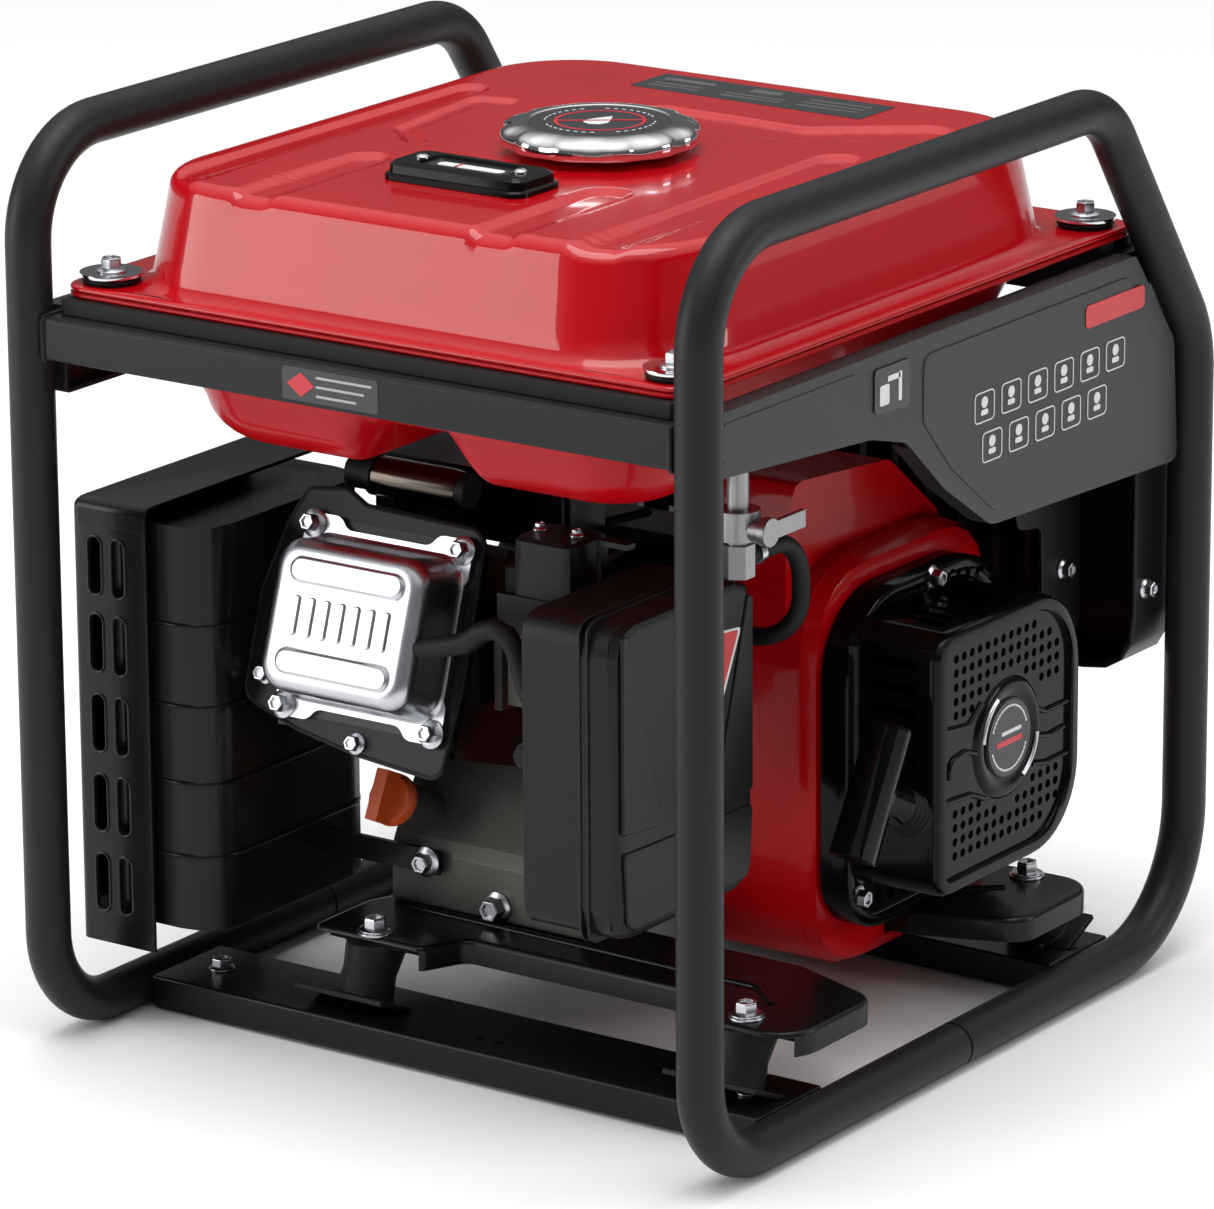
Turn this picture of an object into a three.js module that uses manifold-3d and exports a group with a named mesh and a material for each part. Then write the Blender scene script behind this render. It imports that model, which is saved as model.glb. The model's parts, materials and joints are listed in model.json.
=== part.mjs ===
// Open-frame portable generator. Millimetres, +Z up.
// X runs from the exhaust side to the recoil-starter side, Y from the cylinder-head side to the
// control-panel side. The origin is on the floor, under the middle of the frame.
import * as THREE from "three";
import { mergeVertices } from "three/addons/utils/BufferGeometryUtils.js";
import Module from "manifold-3d";

const wasm = await Module();
wasm.setup();

// ---- driving dimensions ----
const GAP = 0.3; // clearance left between touching pieces
const TUBE_R = 12.5; // frame tube radius
const LOOP_X = 216.4; // distance of each loop's plane from the middle
const LOOP_FRONT_Y = -244.5; // centre of the front uprights
const LOOP_REAR_Y = 244.5; // centre of the rear uprights
const LOOP_LOW_Z = 12.5; // centre of the bottom bars
const LOOP_TOP_Z = 509; // centre of the top bars
const LOOP_SLANT_Z = 362; // height at which the rear upright leans in
const LOOP_TOP_REAR_Y = 142; // where the slanted stretch meets the top bar
const INSIDE_X = LOOP_X - TUBE_R - GAP; // inner face of the loops, less the clearance

const RAIL_FRONT_Y = -239.5; // centre of the front upper rail
const RAIL_HIGH_Z = 403; // centre of both upper rails
const RAIL_H = 24;

const BASE_FRONT_Y = -141; // centre of the front base rail
const BASE_REAR_Y = 153; // centre of the rear base rail
const BASE_DEPTH = 62;
const BASE_LOW_Z = 2.8;
const BASE_TOP_Z = 20.5;
const SHEET = 2.5; // wall of the pressed channels

const FOOT_X = 176;
const BEARER_TOP_Z = 60;
const BEARER_SHEET = 3;

const TANK_FLANGE_Z = 427; // middle of the tank's joint
const TANK_TOP_Z = 490;
const TANK_BOTTOM_Z = 344;
const TANK_WALL = 2.5;
const CAP_X = 5;
const CAP_Y = -28;
const GAUGE_X = -8;
const GAUGE_Y = -128;

const CRANK_Y = 77;
const CRANK_Z = 167;
const CYL_X = -60; // plane of the cylinder axis
const CYL_TURN = Math.PI / 2 - THREE.MathUtils.degToRad(18); // from upright to the leaning cylinder
const BORE_R = 35;
const THROW = 27;
const ROD_LENGTH = 88;
const HEAD_START = 150; // distances along the cylinder axis from the crank
const HEAD_END = 238;

const STARTER_X = 190; // plane in which the starter rope runs
const PULL_ANGLE = THREE.MathUtils.degToRad(30); // the rope leaves upwards by this much
const REEL_R = 62;

// ---- colours ----
const CHARCOAL = 0x2a2b2d;
const BLACK = 0x151516;
const SOFT_BLACK = 0x202123;
const RED = 0xc00a18;
const ZINC = 0xb9bcc0;
const ALLOY = 0x9a9a96;
const STEEL = 0x8f9296;
const ORANGE = 0xc8420f;
const RUBBER = 0x121212;

// ---- solids ----
function solid(geometry) {
  const g = geometry.clone();
  g.deleteAttribute("normal");
  g.deleteAttribute("uv");
  const merged = mergeVertices(g, 1e-3);
  return new wasm.Manifold(
    new wasm.Mesh({
      numProp: 3,
      vertProperties: merged.attributes.position.array,
      triVerts: new Uint32Array(merged.index.array),
    }),
  );
}

function geometryOf(body) {
  const mesh = body.getMesh();
  const g = new THREE.BufferGeometry();
  g.setAttribute("position", new THREE.BufferAttribute(new Float32Array(mesh.vertProperties), 3));
  g.setIndex(new THREE.BufferAttribute(new Uint32Array(mesh.triVerts), 1));
  const flat = g.toNonIndexed();
  flat.computeVertexNormals();
  return flat;
}

const put = (g, x = 0, y = 0, z = 0) => g.translate(x, y, z);

// A box between two corners.
function box(x0, x1, y0, y1, z0, z1) {
  const g = new THREE.BoxGeometry(x1 - x0, y1 - y0, z1 - z0);
  return solid(put(g, (x0 + x1) / 2, (y0 + y1) / 2, (z0 + z1) / 2));
}

// A round bar from z0 to z1, or along another axis, through the point (a, b).
function rod(axis, a, b, from, to, r, segments = 24, rEnd = r) {
  const g = new THREE.CylinderGeometry(rEnd, r, to - from, segments);
  const mid = (from + to) / 2;
  if (axis === "z") return solid(put(g.rotateX(Math.PI / 2), a, b, mid));
  if (axis === "y") return solid(put(g, a, mid, b));
  return solid(put(g.rotateZ(-Math.PI / 2), mid, a, b));
}

// A closed outline through [a, b, radius] corners.
function outline(corners) {
  const shape = new THREE.Shape();
  const n = corners.length;
  corners.forEach(([x, y, r], i) => {
    const before = new THREE.Vector2(...corners[(i + n - 1) % n].slice(0, 2));
    const after = new THREE.Vector2(...corners[(i + 1) % n].slice(0, 2));
    const here = new THREE.Vector2(x, y);
    const back = before.sub(here).normalize();
    const on = after.sub(here).normalize();
    const half = Math.acos(THREE.MathUtils.clamp(back.dot(on), -1, 1)) / 2;
    const reach = (r || 0) / Math.tan(half);
    const start = here.clone().addScaledVector(back, reach);
    const end = here.clone().addScaledVector(on, reach);
    if (i === 0) shape.moveTo(start.x, start.y);
    else shape.lineTo(start.x, start.y);
    if (r) arc(shape, here, start, end);
  });
  shape.closePath();
  return shape;
}

// Straight chords that follow a rounded corner, more of them on a larger one.
function arc(shape, corner, start, end) {
  const steps = Math.min(5, 2 + Math.floor(start.distanceTo(end) / 18));
  for (let k = 1; k <= steps; k++) {
    const t = k / steps;
    const x = (1 - t) ** 2 * start.x + 2 * t * (1 - t) * corner.x + t * t * end.x;
    const y = (1 - t) ** 2 * start.y + 2 * t * (1 - t) * corner.y + t * t * end.y;
    shape.lineTo(x, y);
  }
}

function roundRect(w, h, r, cx = 0, cy = 0) {
  const a = w / 2;
  const b = h / 2;
  return outline([
    [cx - a, cy - b, r],
    [cx + a, cy - b, r],
    [cx + a, cy + b, r],
    [cx - a, cy + b, r],
  ]);
}

// An outline pushed along Z from z0 to z1.
function slab(shape, z0, z1, holes = []) {
  shape.holes = holes;
  const g = new THREE.ExtrudeGeometry(shape, { depth: z1 - z0, bevelEnabled: false, curveSegments: 8 });
  return solid(put(g, 0, 0, z0));
}

// The same for an outline in the (y, z) plane, pushed along X.
function slabX(shape, x0, x1) {
  const g = new THREE.ExtrudeGeometry(shape, { depth: x1 - x0, bevelEnabled: false, curveSegments: 8 });
  g.rotateY(Math.PI / 2);
  g.rotateX(Math.PI / 2);
  return solid(put(g, x0, 0, 0));
}

// A rounded block on z = 0: flat top plan w x d, rounded top edges, walls that widen by draft.
function pillow(w, d, r, height, draft, edge, cx = 0, cy = 0, steps = 2) {
  const far = 2000;
  const cap = new THREE.ExtrudeGeometry(roundRect(w, d, r, cx, cy), {
    depth: 0.1,
    bevelThickness: edge,
    bevelSize: edge,
    bevelSegments: steps,
    curveSegments: 8,
  });
  const top = solid(put(cap, 0, 0, height - edge - 0.1)).intersect(
    box(-far, far, -far, far, height - edge - 0.05, height + 1),
  );
  const skirt = new THREE.ExtrudeGeometry(roundRect(w + 2 * edge, d + 2 * edge, r + edge, cx, cy), {
    depth: 0.1,
    bevelThickness: height - edge,
    bevelSize: Math.max(draft, 0.05),
    bevelSegments: 1,
    curveSegments: 8,
  });
  const low = solid(put(skirt, 0, 0, -0.1)).intersect(box(-far, far, -far, far, 0, height));
  return low.add(top);
}

// Turns a solid by a matrix that three.js composes.
function moved(body, x, y, z, rx = 0, ry = 0, rz = 0) {
  const m = new THREE.Matrix4().compose(
    new THREE.Vector3(x, y, z),
    new THREE.Quaternion().setFromEuler(new THREE.Euler(rx, ry, rz)),
    new THREE.Vector3(1, 1, 1),
  );
  return solid(geometryOf(body).applyMatrix4(m));
}

const join = (first, ...rest) => rest.reduce((sum, next) => sum.add(next), first);
const cut = (first, ...rest) => rest.reduce((sum, next) => sum.subtract(next), first);

// A path of straight runs joined by round bends, sampled only where it bends.
class BentPath extends THREE.Curve {
  constructor(points, steps) {
    super();
    this.stops = [];
    this.headings = [];
    const spots = points.map(([x, y, z]) => new THREE.Vector3(x, y, z));
    spots.forEach((here, i) => {
      const radius = points[i][3] || 0;
      if (i === 0 || i === spots.length - 1) {
        const from = i === 0 ? here : spots[i - 1];
        const to = i === 0 ? spots[1] : here;
        this.stops.push(here);
        this.headings.push(to.clone().sub(from).normalize());
        return;
      }
      const inward = here.clone().sub(spots[i - 1]).normalize();
      const outward = spots[i + 1].clone().sub(here).normalize();
      const turn = inward.angleTo(outward);
      const reach = radius * Math.tan(turn / 2);
      const axis = inward.clone().cross(outward).normalize();
      const start = here.clone().addScaledVector(inward, -reach);
      const centre = start.clone().addScaledVector(axis.clone().cross(inward), radius);
      for (let k = 0; k <= steps; k++) {
        const spin = new THREE.Quaternion().setFromAxisAngle(axis, (turn * k) / steps);
        this.stops.push(start.clone().sub(centre).applyQuaternion(spin).add(centre));
        this.headings.push(inward.clone().applyQuaternion(spin));
      }
    });
  }
  getPoint(t, target = new THREE.Vector3()) {
    const place = t * (this.stops.length - 1);
    const low = Math.min(Math.floor(place), this.stops.length - 2);
    return target.lerpVectors(this.stops[low], this.stops[low + 1], place - low);
  }
  getPointAt(t, target) {
    return this.getPoint(t, target);
  }
  getTangentAt(t) {
    return this.headings[Math.round(t * (this.stops.length - 1))].clone();
  }
}

// The same surface with its triangles turned over.
function flipped(geometry) {
  const faces = geometry.index ? geometry.toNonIndexed() : geometry;
  const p = faces.attributes.position;
  for (let i = 0; i < p.count; i += 3) {
    const a = new THREE.Vector3().fromBufferAttribute(p, i + 1);
    const b = new THREE.Vector3().fromBufferAttribute(p, i + 2);
    p.setXYZ(i + 1, b.x, b.y, b.z);
    p.setXYZ(i + 2, a.x, a.y, a.z);
  }
  return faces;
}

// A round bar swept along a bent path.
function bentBar(points, r, sides = 12, steps = 5) {
  const path = new BentPath(points, steps);
  const ring = new THREE.Shape();
  for (let k = 0; k < sides; k++) {
    const a = (2 * Math.PI * k) / sides;
    if (k === 0) ring.moveTo(r, 0);
    else ring.lineTo(r * Math.cos(a), r * Math.sin(a));
  }
  ring.closePath();
  const g = new THREE.ExtrudeGeometry(ring, {
    steps: path.stops.length - 1,
    extrudePath: path,
    bevelEnabled: false,
  });
  const body = solid(g);
  if (body.volume() > 0) return body;
  return solid(flipped(g));
}

// A turned body from [radius, height] stops, about Z.
function turned(profile, segments = 32) {
  const points = profile.map(([r, z]) => new THREE.Vector2(r, z));
  return solid(new THREE.LatheGeometry(points, segments).rotateX(Math.PI / 2));
}

// ---- the generator ----
const generator = new THREE.Group();
generator.name = "portable_generator";

// The leaning engine axis: local Z runs out along the cylinder, local Y points up.
const leaning = new THREE.Group();
leaning.name = "leaning_cylinder";
leaning.position.set(0, CRANK_Y, CRANK_Z);
leaning.rotation.x = CYL_TURN;
generator.add(leaning);

function add(name, body, colour, roughness, metalness, group = generator) {
  const material = new THREE.MeshStandardMaterial({ color: colour, roughness, metalness });
  const mesh = new THREE.Mesh(geometryOf(body), material);
  mesh.name = name;
  group.add(mesh);
  return mesh;
}

const upright = (body) => moved(body, 0, CRANK_Y, CRANK_Z, CYL_TURN);

// ---- frame ----
function frameLoop(x) {
  const jointY = 0;
  const loop = bentBar(
    [
      [x, jointY, LOOP_LOW_Z],
      [x, LOOP_FRONT_Y, LOOP_LOW_Z, 52],
      [x, LOOP_FRONT_Y, LOOP_TOP_Z, 57],
      [x, LOOP_TOP_REAR_Y, LOOP_TOP_Z, 48],
      [x, LOOP_REAR_Y, LOOP_SLANT_Z, 70],
      [x, LOOP_REAR_Y, LOOP_LOW_Z, 74],
      [x, jointY, LOOP_LOW_Z],
    ],
    TUBE_R,
  );
  const sleeve = rod("y", x, LOOP_LOW_Z, jointY - 5, jointY + 5, TUBE_R - 0.4, 12);
  return join(loop, sleeve);
}
add("left_frame_loop", frameLoop(-LOOP_X), CHARCOAL, 0.45, 0.3);
add("right_frame_loop", frameLoop(LOOP_X), CHARCOAL, 0.45, 0.3);

const railLow = RAIL_HIGH_Z - RAIL_H / 2;
const railTop = RAIL_HIGH_Z + RAIL_H / 2;
const rotate90 = Math.PI / 2;

function squareTube(yMid, depth) {
  const outer = slabX(roundRect(depth, RAIL_H, 3, yMid, RAIL_HIGH_Z), -INSIDE_X, INSIDE_X);
  const inner = slabX(
    roundRect(depth - 2 * SHEET, RAIL_H - 2 * SHEET, 1.5, yMid, RAIL_HIGH_Z),
    -INSIDE_X - 1,
    INSIDE_X + 1,
  );
  return cut(outer, inner);
}
add("front_upper_rail", squareTube(RAIL_FRONT_Y, 22), CHARCOAL, 0.45, 0.3);

// A pressed channel with its open side down.
function channel(x0, x1, y0, y1, z0, z1) {
  return cut(
    box(x0, x1, y0, y1, z0, z1),
    box(x0 + SHEET, x1 - SHEET, y0 + SHEET, y1 - SHEET, z0 - 1, z1 - SHEET),
  );
}
add("rear_upper_rail", channel(-INSIDE_X, INSIDE_X, 178, 226, railLow, railTop), CHARCOAL, 0.45, 0.3);

const baseHalf = BASE_DEPTH / 2;
for (const [name, y] of [
  ["front_base_rail", BASE_FRONT_Y],
  ["rear_base_rail", BASE_REAR_Y],
]) {
  const rail = channel(-INSIDE_X, INSIDE_X, y - baseHalf, y + baseHalf, BASE_LOW_Z, BASE_TOP_Z);
  add(name, rail, CHARCOAL, 0.45, 0.3);
}

for (const [side, x] of [
  ["left", -FOOT_X],
  ["right", FOOT_X],
]) {
  for (const [end, y] of [
    ["front", BASE_FRONT_Y],
    ["rear", BASE_REAR_Y],
  ]) {
    const foot = turned(
      [
        [0, 0],
        [20, 0],
        [21, 2],
        [16, BASE_TOP_Z - SHEET - GAP],
        [0, BASE_TOP_Z - SHEET - GAP],
      ],
      18,
    );
    const mesh = add(`foot_${end}_${side}`, foot, RUBBER, 0.9, 0);
    mesh.position.set(x, y, 0);
  }
}

// ---- side covers: trays that close the frame between the tank and the engine ----
function sideCover(corners, x0, x1, wall) {
  const shape = (inset) => {
    const mean = (part) => corners.reduce((sum, corner) => sum + corner[part], 0) / corners.length;
    return outline(
      corners.map(([y, z, r]) => [
        y + Math.sign(mean(0) - y) * inset,
        z + Math.sign(mean(1) - z) * inset,
        Math.max(r - inset, 0.5),
      ]),
    );
  };
  return cut(slabX(shape(0), x0, x1), slabX(shape(wall), x0 - 1, x1 - wall));
}
const COVER_IN_X = 204.5;
const COVER_OUT_X = 217;
const COVER_WALL = 2.5;
const deepCover = [
  [-230.5, 384, 3],
  [-86, 373, 8],
  [-52, 364, 12],
  [-14, 330, 14],
  [33, 299, 20],
  [229.5, 291, 6],
  [224, 362, 10],
  [181, 418, 5],
  [-230.5, 418, 5],
];
add("right_side_cover", sideCover(deepCover, COVER_IN_X, COVER_OUT_X, COVER_WALL), 0x303133, 0.6, 0);
const shallowCover = [
  [-230.5, 368, 3],
  [218, 368, 3],
  [181, 418, 5],
  [-230.5, 418, 5],
];
const turnedCover = shallowCover.map(([y, z, r]) => [-y, z, r]).reverse();
const leftCover = moved(sideCover(turnedCover, COVER_IN_X, COVER_OUT_X, COVER_WALL), 0, 0, 0, 0, 0, Math.PI);
add("left_side_cover", leftCover, 0x303133, 0.6, 0);

// ---- engine bearers and rubber mounts ----
function bearer() {
  // Local y grows towards the engine, away from the rail's outer side.
  const plan = outline([
    [-112, 0, 6],
    [-38, 0, 6],
    [-26, 28, 10],
    [124, 28, 10],
    [140, -4, 8],
    [211, -6, 12],
    [211, 74, 14],
    [150, 96, 14],
    [-92, 96, 14],
    [-112, 52, 14],
  ]);
  const plate = slab(plan, BEARER_TOP_Z - BEARER_SHEET, BEARER_TOP_Z);
  const lipMiddle = box(-24, 122, 28.4, 28.4 + BEARER_SHEET, BEARER_TOP_Z - 14, BEARER_TOP_Z - 1);
  const lipEnd = box(208, 211, 8, 60, BEARER_TOP_Z - 14, BEARER_TOP_Z - 1);
  const lipBack = box(-84, 144, 93, 96, BEARER_TOP_Z - 14, BEARER_TOP_Z - 1);
  return join(plate, lipMiddle, lipEnd, lipBack);
}
const FRONT_BEARER_Y = -144;
const REAR_BEARER_Y = 156;
add("front_engine_bearer", bearer(), BLACK, 0.4, 0.4).position.y = FRONT_BEARER_Y;
const mirroredBearer = solid(flipped(geometryOf(bearer()).scale(1, -1, 1)));
add("rear_engine_bearer", mirroredBearer, BLACK, 0.4, 0.4).position.y = REAR_BEARER_Y;

const MOUNT_LEAN = 0.42; // radians from upright, towards the engine
function rubberMount() {
  const block = turned(
    [
      [0, -15],
      [17, -15],
      [15, 0],
      [17, 15],
      [0, 15],
    ],
    12,
  );
  const plateLow = box(-34, 26, -20, 20, -18, -14.5);
  const plateHigh = box(-26, 30, -19, 19, 14.5, 18);
  return join(block, plateLow, plateHigh);
}
for (const [name, x, y, side] of [
  ["mount_front_left", -74, -141, 1],
  ["mount_front_right", 172, -141, 1],
  ["mount_rear_left", -74, 153, -1],
  ["mount_rear_right", 172, 153, -1],
]) {
  const lean = moved(rubberMount(), x, y, 39, -side * MOUNT_LEAN);
  const between = box(x - 60, x + 60, y - 60, y + 60, BASE_TOP_Z + GAP, BEARER_TOP_Z - BEARER_SHEET - GAP);
  add(name, lean.intersect(between), RUBBER, 0.85, 0);
}

// ---- fuel tank ----
const flangeOutline = () =>
  outline([
    [-203, -236, 14],
    [203, -236, 14],
    [203, 207, 14],
    [-203, 207, 14],
  ]);
const TANK_MID_Y = -22;
const flangeLow = TANK_FLANGE_Z - 3;
const flangeHigh = TANK_FLANGE_Z + 3;

function tankBolts(r, z0, z1) {
  return [-1, 1].flatMap((side) => [-216, 183].map((y) => rod("z", side * 183, y, z0, z1, r, 12)));
}
const TANK_RISE = TANK_TOP_Z - TANK_FLANGE_Z;
const domeBase = TANK_FLANGE_Z + GAP / 2;
const outerDome = moved(pillow(330, 370, 54, TANK_RISE, 9, 8, 0, TANK_MID_Y), 0, 0, domeBase);
const innerDome = moved(
  pillow(328, 368, 52, TANK_RISE - TANK_WALL + 1, 8, 6, 0, TANK_MID_Y, 1),
  0,
  0,
  domeBase - 1,
);
// Shallow channels pressed into the top, each from its left to its right edge.
const CHANNEL_DEPTH = 1.2;
const topChannels = [
  [-99, -77],
  [56, 80],
  [117, 141],
].map(([x0, x1]) => box(x0, x1, -200, -105, TANK_TOP_Z - CHANNEL_DEPTH, TANK_TOP_Z + 5));
const upperShell = cut(
  join(slab(flangeOutline(), domeBase, flangeHigh), outerDome),
  innerDome,
  ...topChannels,
  rod("z", CAP_X, CAP_Y, TANK_TOP_Z - 20, TANK_TOP_Z + 10, 27, 24),
  ...tankBolts(9, flangeLow - 5, flangeHigh + 5),
);
add("tank_upper_shell", upperShell, RED, 0.12, 0.1);

const TANK_DROP = TANK_FLANGE_Z - TANK_BOTTOM_Z;
const BELLY_X = 2;
const BELLY_Y = -31;
const bellyBlock = pillow(244, 290, 8, TANK_DROP, 24, 30, BELLY_X, -BELLY_Y);
const outerBelly = moved(bellyBlock, 0, 0, TANK_FLANGE_Z, Math.PI);
const innerBelly = moved(
  pillow(242, 288, 7, TANK_DROP - TANK_WALL, 22.5, 29, BELLY_X, -BELLY_Y),
  0,
  0,
  TANK_FLANGE_Z + 0.01,
  Math.PI,
);
const SADDLE_TOP_Z = TANK_BOTTOM_Z + 22;
const SADDLE_FLARE = 780; // height over which the saddle's walls close in
// The long saddle pressed into the tank's underside, grown sideways and upwards.
const saddle = (grow) =>
  moved(
    slab(
      outline([
        [-46 - grow, -SADDLE_FLARE, 0],
        [46 + grow, -SADDLE_FLARE, 0],
        [22 + grow, grow, 6],
        [-22 - grow, grow, 6],
      ]),
      -300,
      300,
    ),
    0,
    0,
    SADDLE_TOP_Z,
    rotate90,
  );
const lowerShell = cut(
  join(
    slab(flangeOutline(), flangeLow, TANK_FLANGE_Z - GAP / 2),
    outerBelly.intersect(box(-400, 400, -400, 400, 0, TANK_FLANGE_Z - GAP / 2)),
  ),
  saddle(0),
  cut(innerBelly, saddle(TANK_WALL)),
  ...tankBolts(9, flangeLow - 5, flangeHigh + 5),
);
add("tank_lower_shell", lowerShell, 0xa80814, 0.15, 0.1);

const neck = cut(
  join(
    rod("z", CAP_X, CAP_Y, TANK_TOP_Z - 14, TANK_TOP_Z + 8, 26.5, 20),
    rod("z", CAP_X, CAP_Y, TANK_TOP_Z + 0.2 + GAP, TANK_TOP_Z + 3, 31, 20),
  ),
  rod("z", CAP_X, CAP_Y, TANK_TOP_Z - 20, TANK_TOP_Z + 20, 24, 20),
);
add("filler_neck", neck, STEEL, 0.35, 0.9);

const gasket = cut(
  rod("z", CAP_X, CAP_Y, TANK_TOP_Z + 8 + GAP, TANK_TOP_Z + 10, 27.5, 16),
  rod("z", CAP_X, CAP_Y, TANK_TOP_Z, TANK_TOP_Z + 20, 22, 16),
);
add("cap_gasket", gasket, RUBBER, 0.9, 0);

const CAP_R = 55;
const CAP_LOW = TANK_TOP_Z + 4;
const CAP_HIGH = TANK_TOP_Z + 17;
const LOBES = 12;
function capOutline() {
  const shape = new THREE.Shape();
  const steps = LOBES * 5;
  for (let k = 0; k < steps; k++) {
    const a = (2 * Math.PI * k) / steps;
    const dip = Math.max(0, Math.cos(LOBES * a) - 0.35) * 3.2;
    const r = CAP_R - dip;
    if (k === 0) shape.moveTo(r, 0);
    else shape.lineTo(r * Math.cos(a), r * Math.sin(a));
  }
  shape.closePath();
  return shape;
}
const cap = cut(
  moved(slab(capOutline(), CAP_LOW, CAP_HIGH), CAP_X, CAP_Y, 0),
  rod("z", CAP_X, CAP_Y, CAP_LOW - 1, TANK_TOP_Z + 10 + GAP, 33, 20),
);
add("fuel_cap", cap, ZINC, 0.2, 1);

const gauge = join(
  moved(pillow(84, 34, 6, 9.5, 1, 3, GAUGE_X, GAUGE_Y, 2), 0, 0, TANK_TOP_Z + GAP),
  box(GAUGE_X - 24, GAUGE_X + 24, GAUGE_Y - 21, GAUGE_Y + 21, TANK_TOP_Z + GAP, TANK_TOP_Z + 4),
);
const gaugeSlot = box(GAUGE_X - 16, GAUGE_X + 16, GAUGE_Y - 6, GAUGE_Y + 6, TANK_TOP_Z + 6, TANK_TOP_Z + 12);
add("fuel_gauge", cut(gauge, gaugeSlot), BLACK, 0.3, 0);

// ---- fuel valve and hose ----
const VALVE_X = 155;
const VALVE_Y = -118;
const valve = join(
  rod("z", VALVE_X, VALVE_Y, 297, 315, 9, 6),
  rod("z", VALVE_X, VALVE_Y, 314, TANK_BOTTOM_Z + 14, 6, 12),
  rod("z", VALVE_X, VALVE_Y, 318, 334, 12, 20),
  rod("y", VALVE_X, 306, VALVE_Y, VALVE_Y + 22, 3.6, 12),
  rod("x", VALVE_Y, 324, VALVE_X, VALVE_X + 16, 7, 12),
);
add("fuel_valve_body", cut(valve, outerBelly, slab(flangeOutline(), 400, 430)), ZINC, 0.3, 0.9);
const LEVER_X = VALVE_X + 16 + GAP;
const lever = join(
  rod("x", VALVE_Y, 324, LEVER_X, LEVER_X + 5, 8, 16),
  box(LEVER_X + 1, LEVER_X + 4, VALVE_Y, VALVE_Y + 34, 319, 329),
);
add("fuel_valve_lever", lever, ZINC, 0.3, 0.9);

const hose = cut(
  bentBar(
    [
      [VALVE_X, VALVE_Y + 8, 306],
      [VALVE_X, VALVE_Y + 60, 306, 26],
      [VALVE_X, VALVE_Y + 60, 246, 26],
      [VALVE_X, VALVE_Y + 44, 246, 12],
      [64, VALVE_Y + 44, 246],
    ],
    5,
    10,
    4,
  ),
  rod("y", VALVE_X, 306, VALVE_Y - 20, VALVE_Y + 22 + GAP, 3.6 + GAP, 12),
  box(VALVE_X - 20, VALVE_X + 20, VALVE_Y - 20, VALVE_Y + 9 + GAP, 290, 320),
);
add("fuel_hose", hose, RUBBER, 0.6, 0);

// ---- engine core ----
const CASE_LEFT = -100;
const CASE_RIGHT = 28;
const CASE_WALL = 6;
const caseProfile = () =>
  outline([
    [-84, BEARER_TOP_Z + GAP, 2],
    [165, BEARER_TOP_Z + GAP, 2],
    [165, 205, 40],
    [110, 250, 30],
    [25, 250, 30],
    [-60, 130, 10],
    [-80, 100, 6],
    [-84, 92, 2],
  ]);
const CAVITY_R = 66;
const barrelFins = [70, 88, 106, 124, 142].map((z) => box(CYL_X - 50, CYL_X + 48, -50, 50, z, z + 4));
const barrel = join(box(CYL_X - 42, CYL_X + 42, -42, 42, 40, HEAD_START - GAP), ...barrelFins);
const OIL_X = -86;
const OIL_Y = -94;
const OIL_Z = 122;
const OIL_LEAN = rotate90 - 0.45;
const oilBoss = moved(rod("z", 0, 0, -30, 6, 13, 16), OIL_X, OIL_Y, OIL_Z, OIL_LEAN);
const crankcase = cut(
  join(slabX(caseProfile(), CASE_LEFT, CASE_RIGHT), upright(barrel), oilBoss),
  rod("x", CRANK_Y, CRANK_Z, CASE_LEFT + CASE_WALL, CASE_RIGHT - CASE_WALL, CAVITY_R, 24),
  upright(rod("z", CYL_X, 0, 30, HEAD_START + 5, BORE_R + 0.4, 24)),
  rod("x", CRANK_Y, CRANK_Z, CASE_LEFT + 2, CASE_RIGHT + 5, 13, 20),
  moved(rod("z", 0, 0, -60, 10, 8, 12), OIL_X, OIL_Y, OIL_Z, OIL_LEAN),
);
add("crankcase", crankcase, ALLOY, 0.55, 0.8);

// Cylinder head: finned block, port bosses and the rocker flange.
const headFins = [160, 174, 188, 202].map((z) => box(CYL_X - 54, CYL_X + 52, -54, 54, z, z + 5));
const head = cut(
  join(
    box(CYL_X - 44, CYL_X + 44, -44, 44, HEAD_START, 214),
    box(CYL_X - 54, CYL_X + 54, -54, 54, 210, HEAD_END - GAP),
    rod("x", 0, 185, CYL_X - 57, CYL_X + 60, 16.4, 20),
    ...headFins,
  ),
  rod("x", 0, 185, CYL_X - 70, CYL_X - 30, 10, 16),
  rod("x", 0, 185, CYL_X + 30, CYL_X + 70, 11, 16),
  rod("z", CYL_X, 0, HEAD_START - 5, HEAD_START + 8, 30, 24),
  box(CYL_X - 38, CYL_X + 38, -36, 36, 220, HEAD_END + 5),
);
const PLUG_LEAN = -0.9;
const plugHole = moved(rod("z", 0, 0, -14, 90, 12, 16), CYL_X - 12, 30, 178, PLUG_LEAN);
add("cylinder_head", cut(head, plugHole), ALLOY, 0.5, 0.8, leaning);

const COVER_PLATE = 112;
const coverPlate = slab(roundRect(COVER_PLATE, COVER_PLATE, 12, CYL_X, 0), HEAD_END, HEAD_END + 3);
const coverDome = moved(pillow(92, 76, 14, 33, 4, 6, CYL_X, 0), 0, 0, HEAD_END);
const coverHollow = moved(pillow(88, 72, 12, 31, 3.5, 5.5, CYL_X, 0, 1), 0, 0, HEAD_END - 0.5);
add("valve_cover", cut(join(coverPlate, coverDome), coverHollow), 0xd6d7d9, 0.25, 1, leaning);

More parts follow.
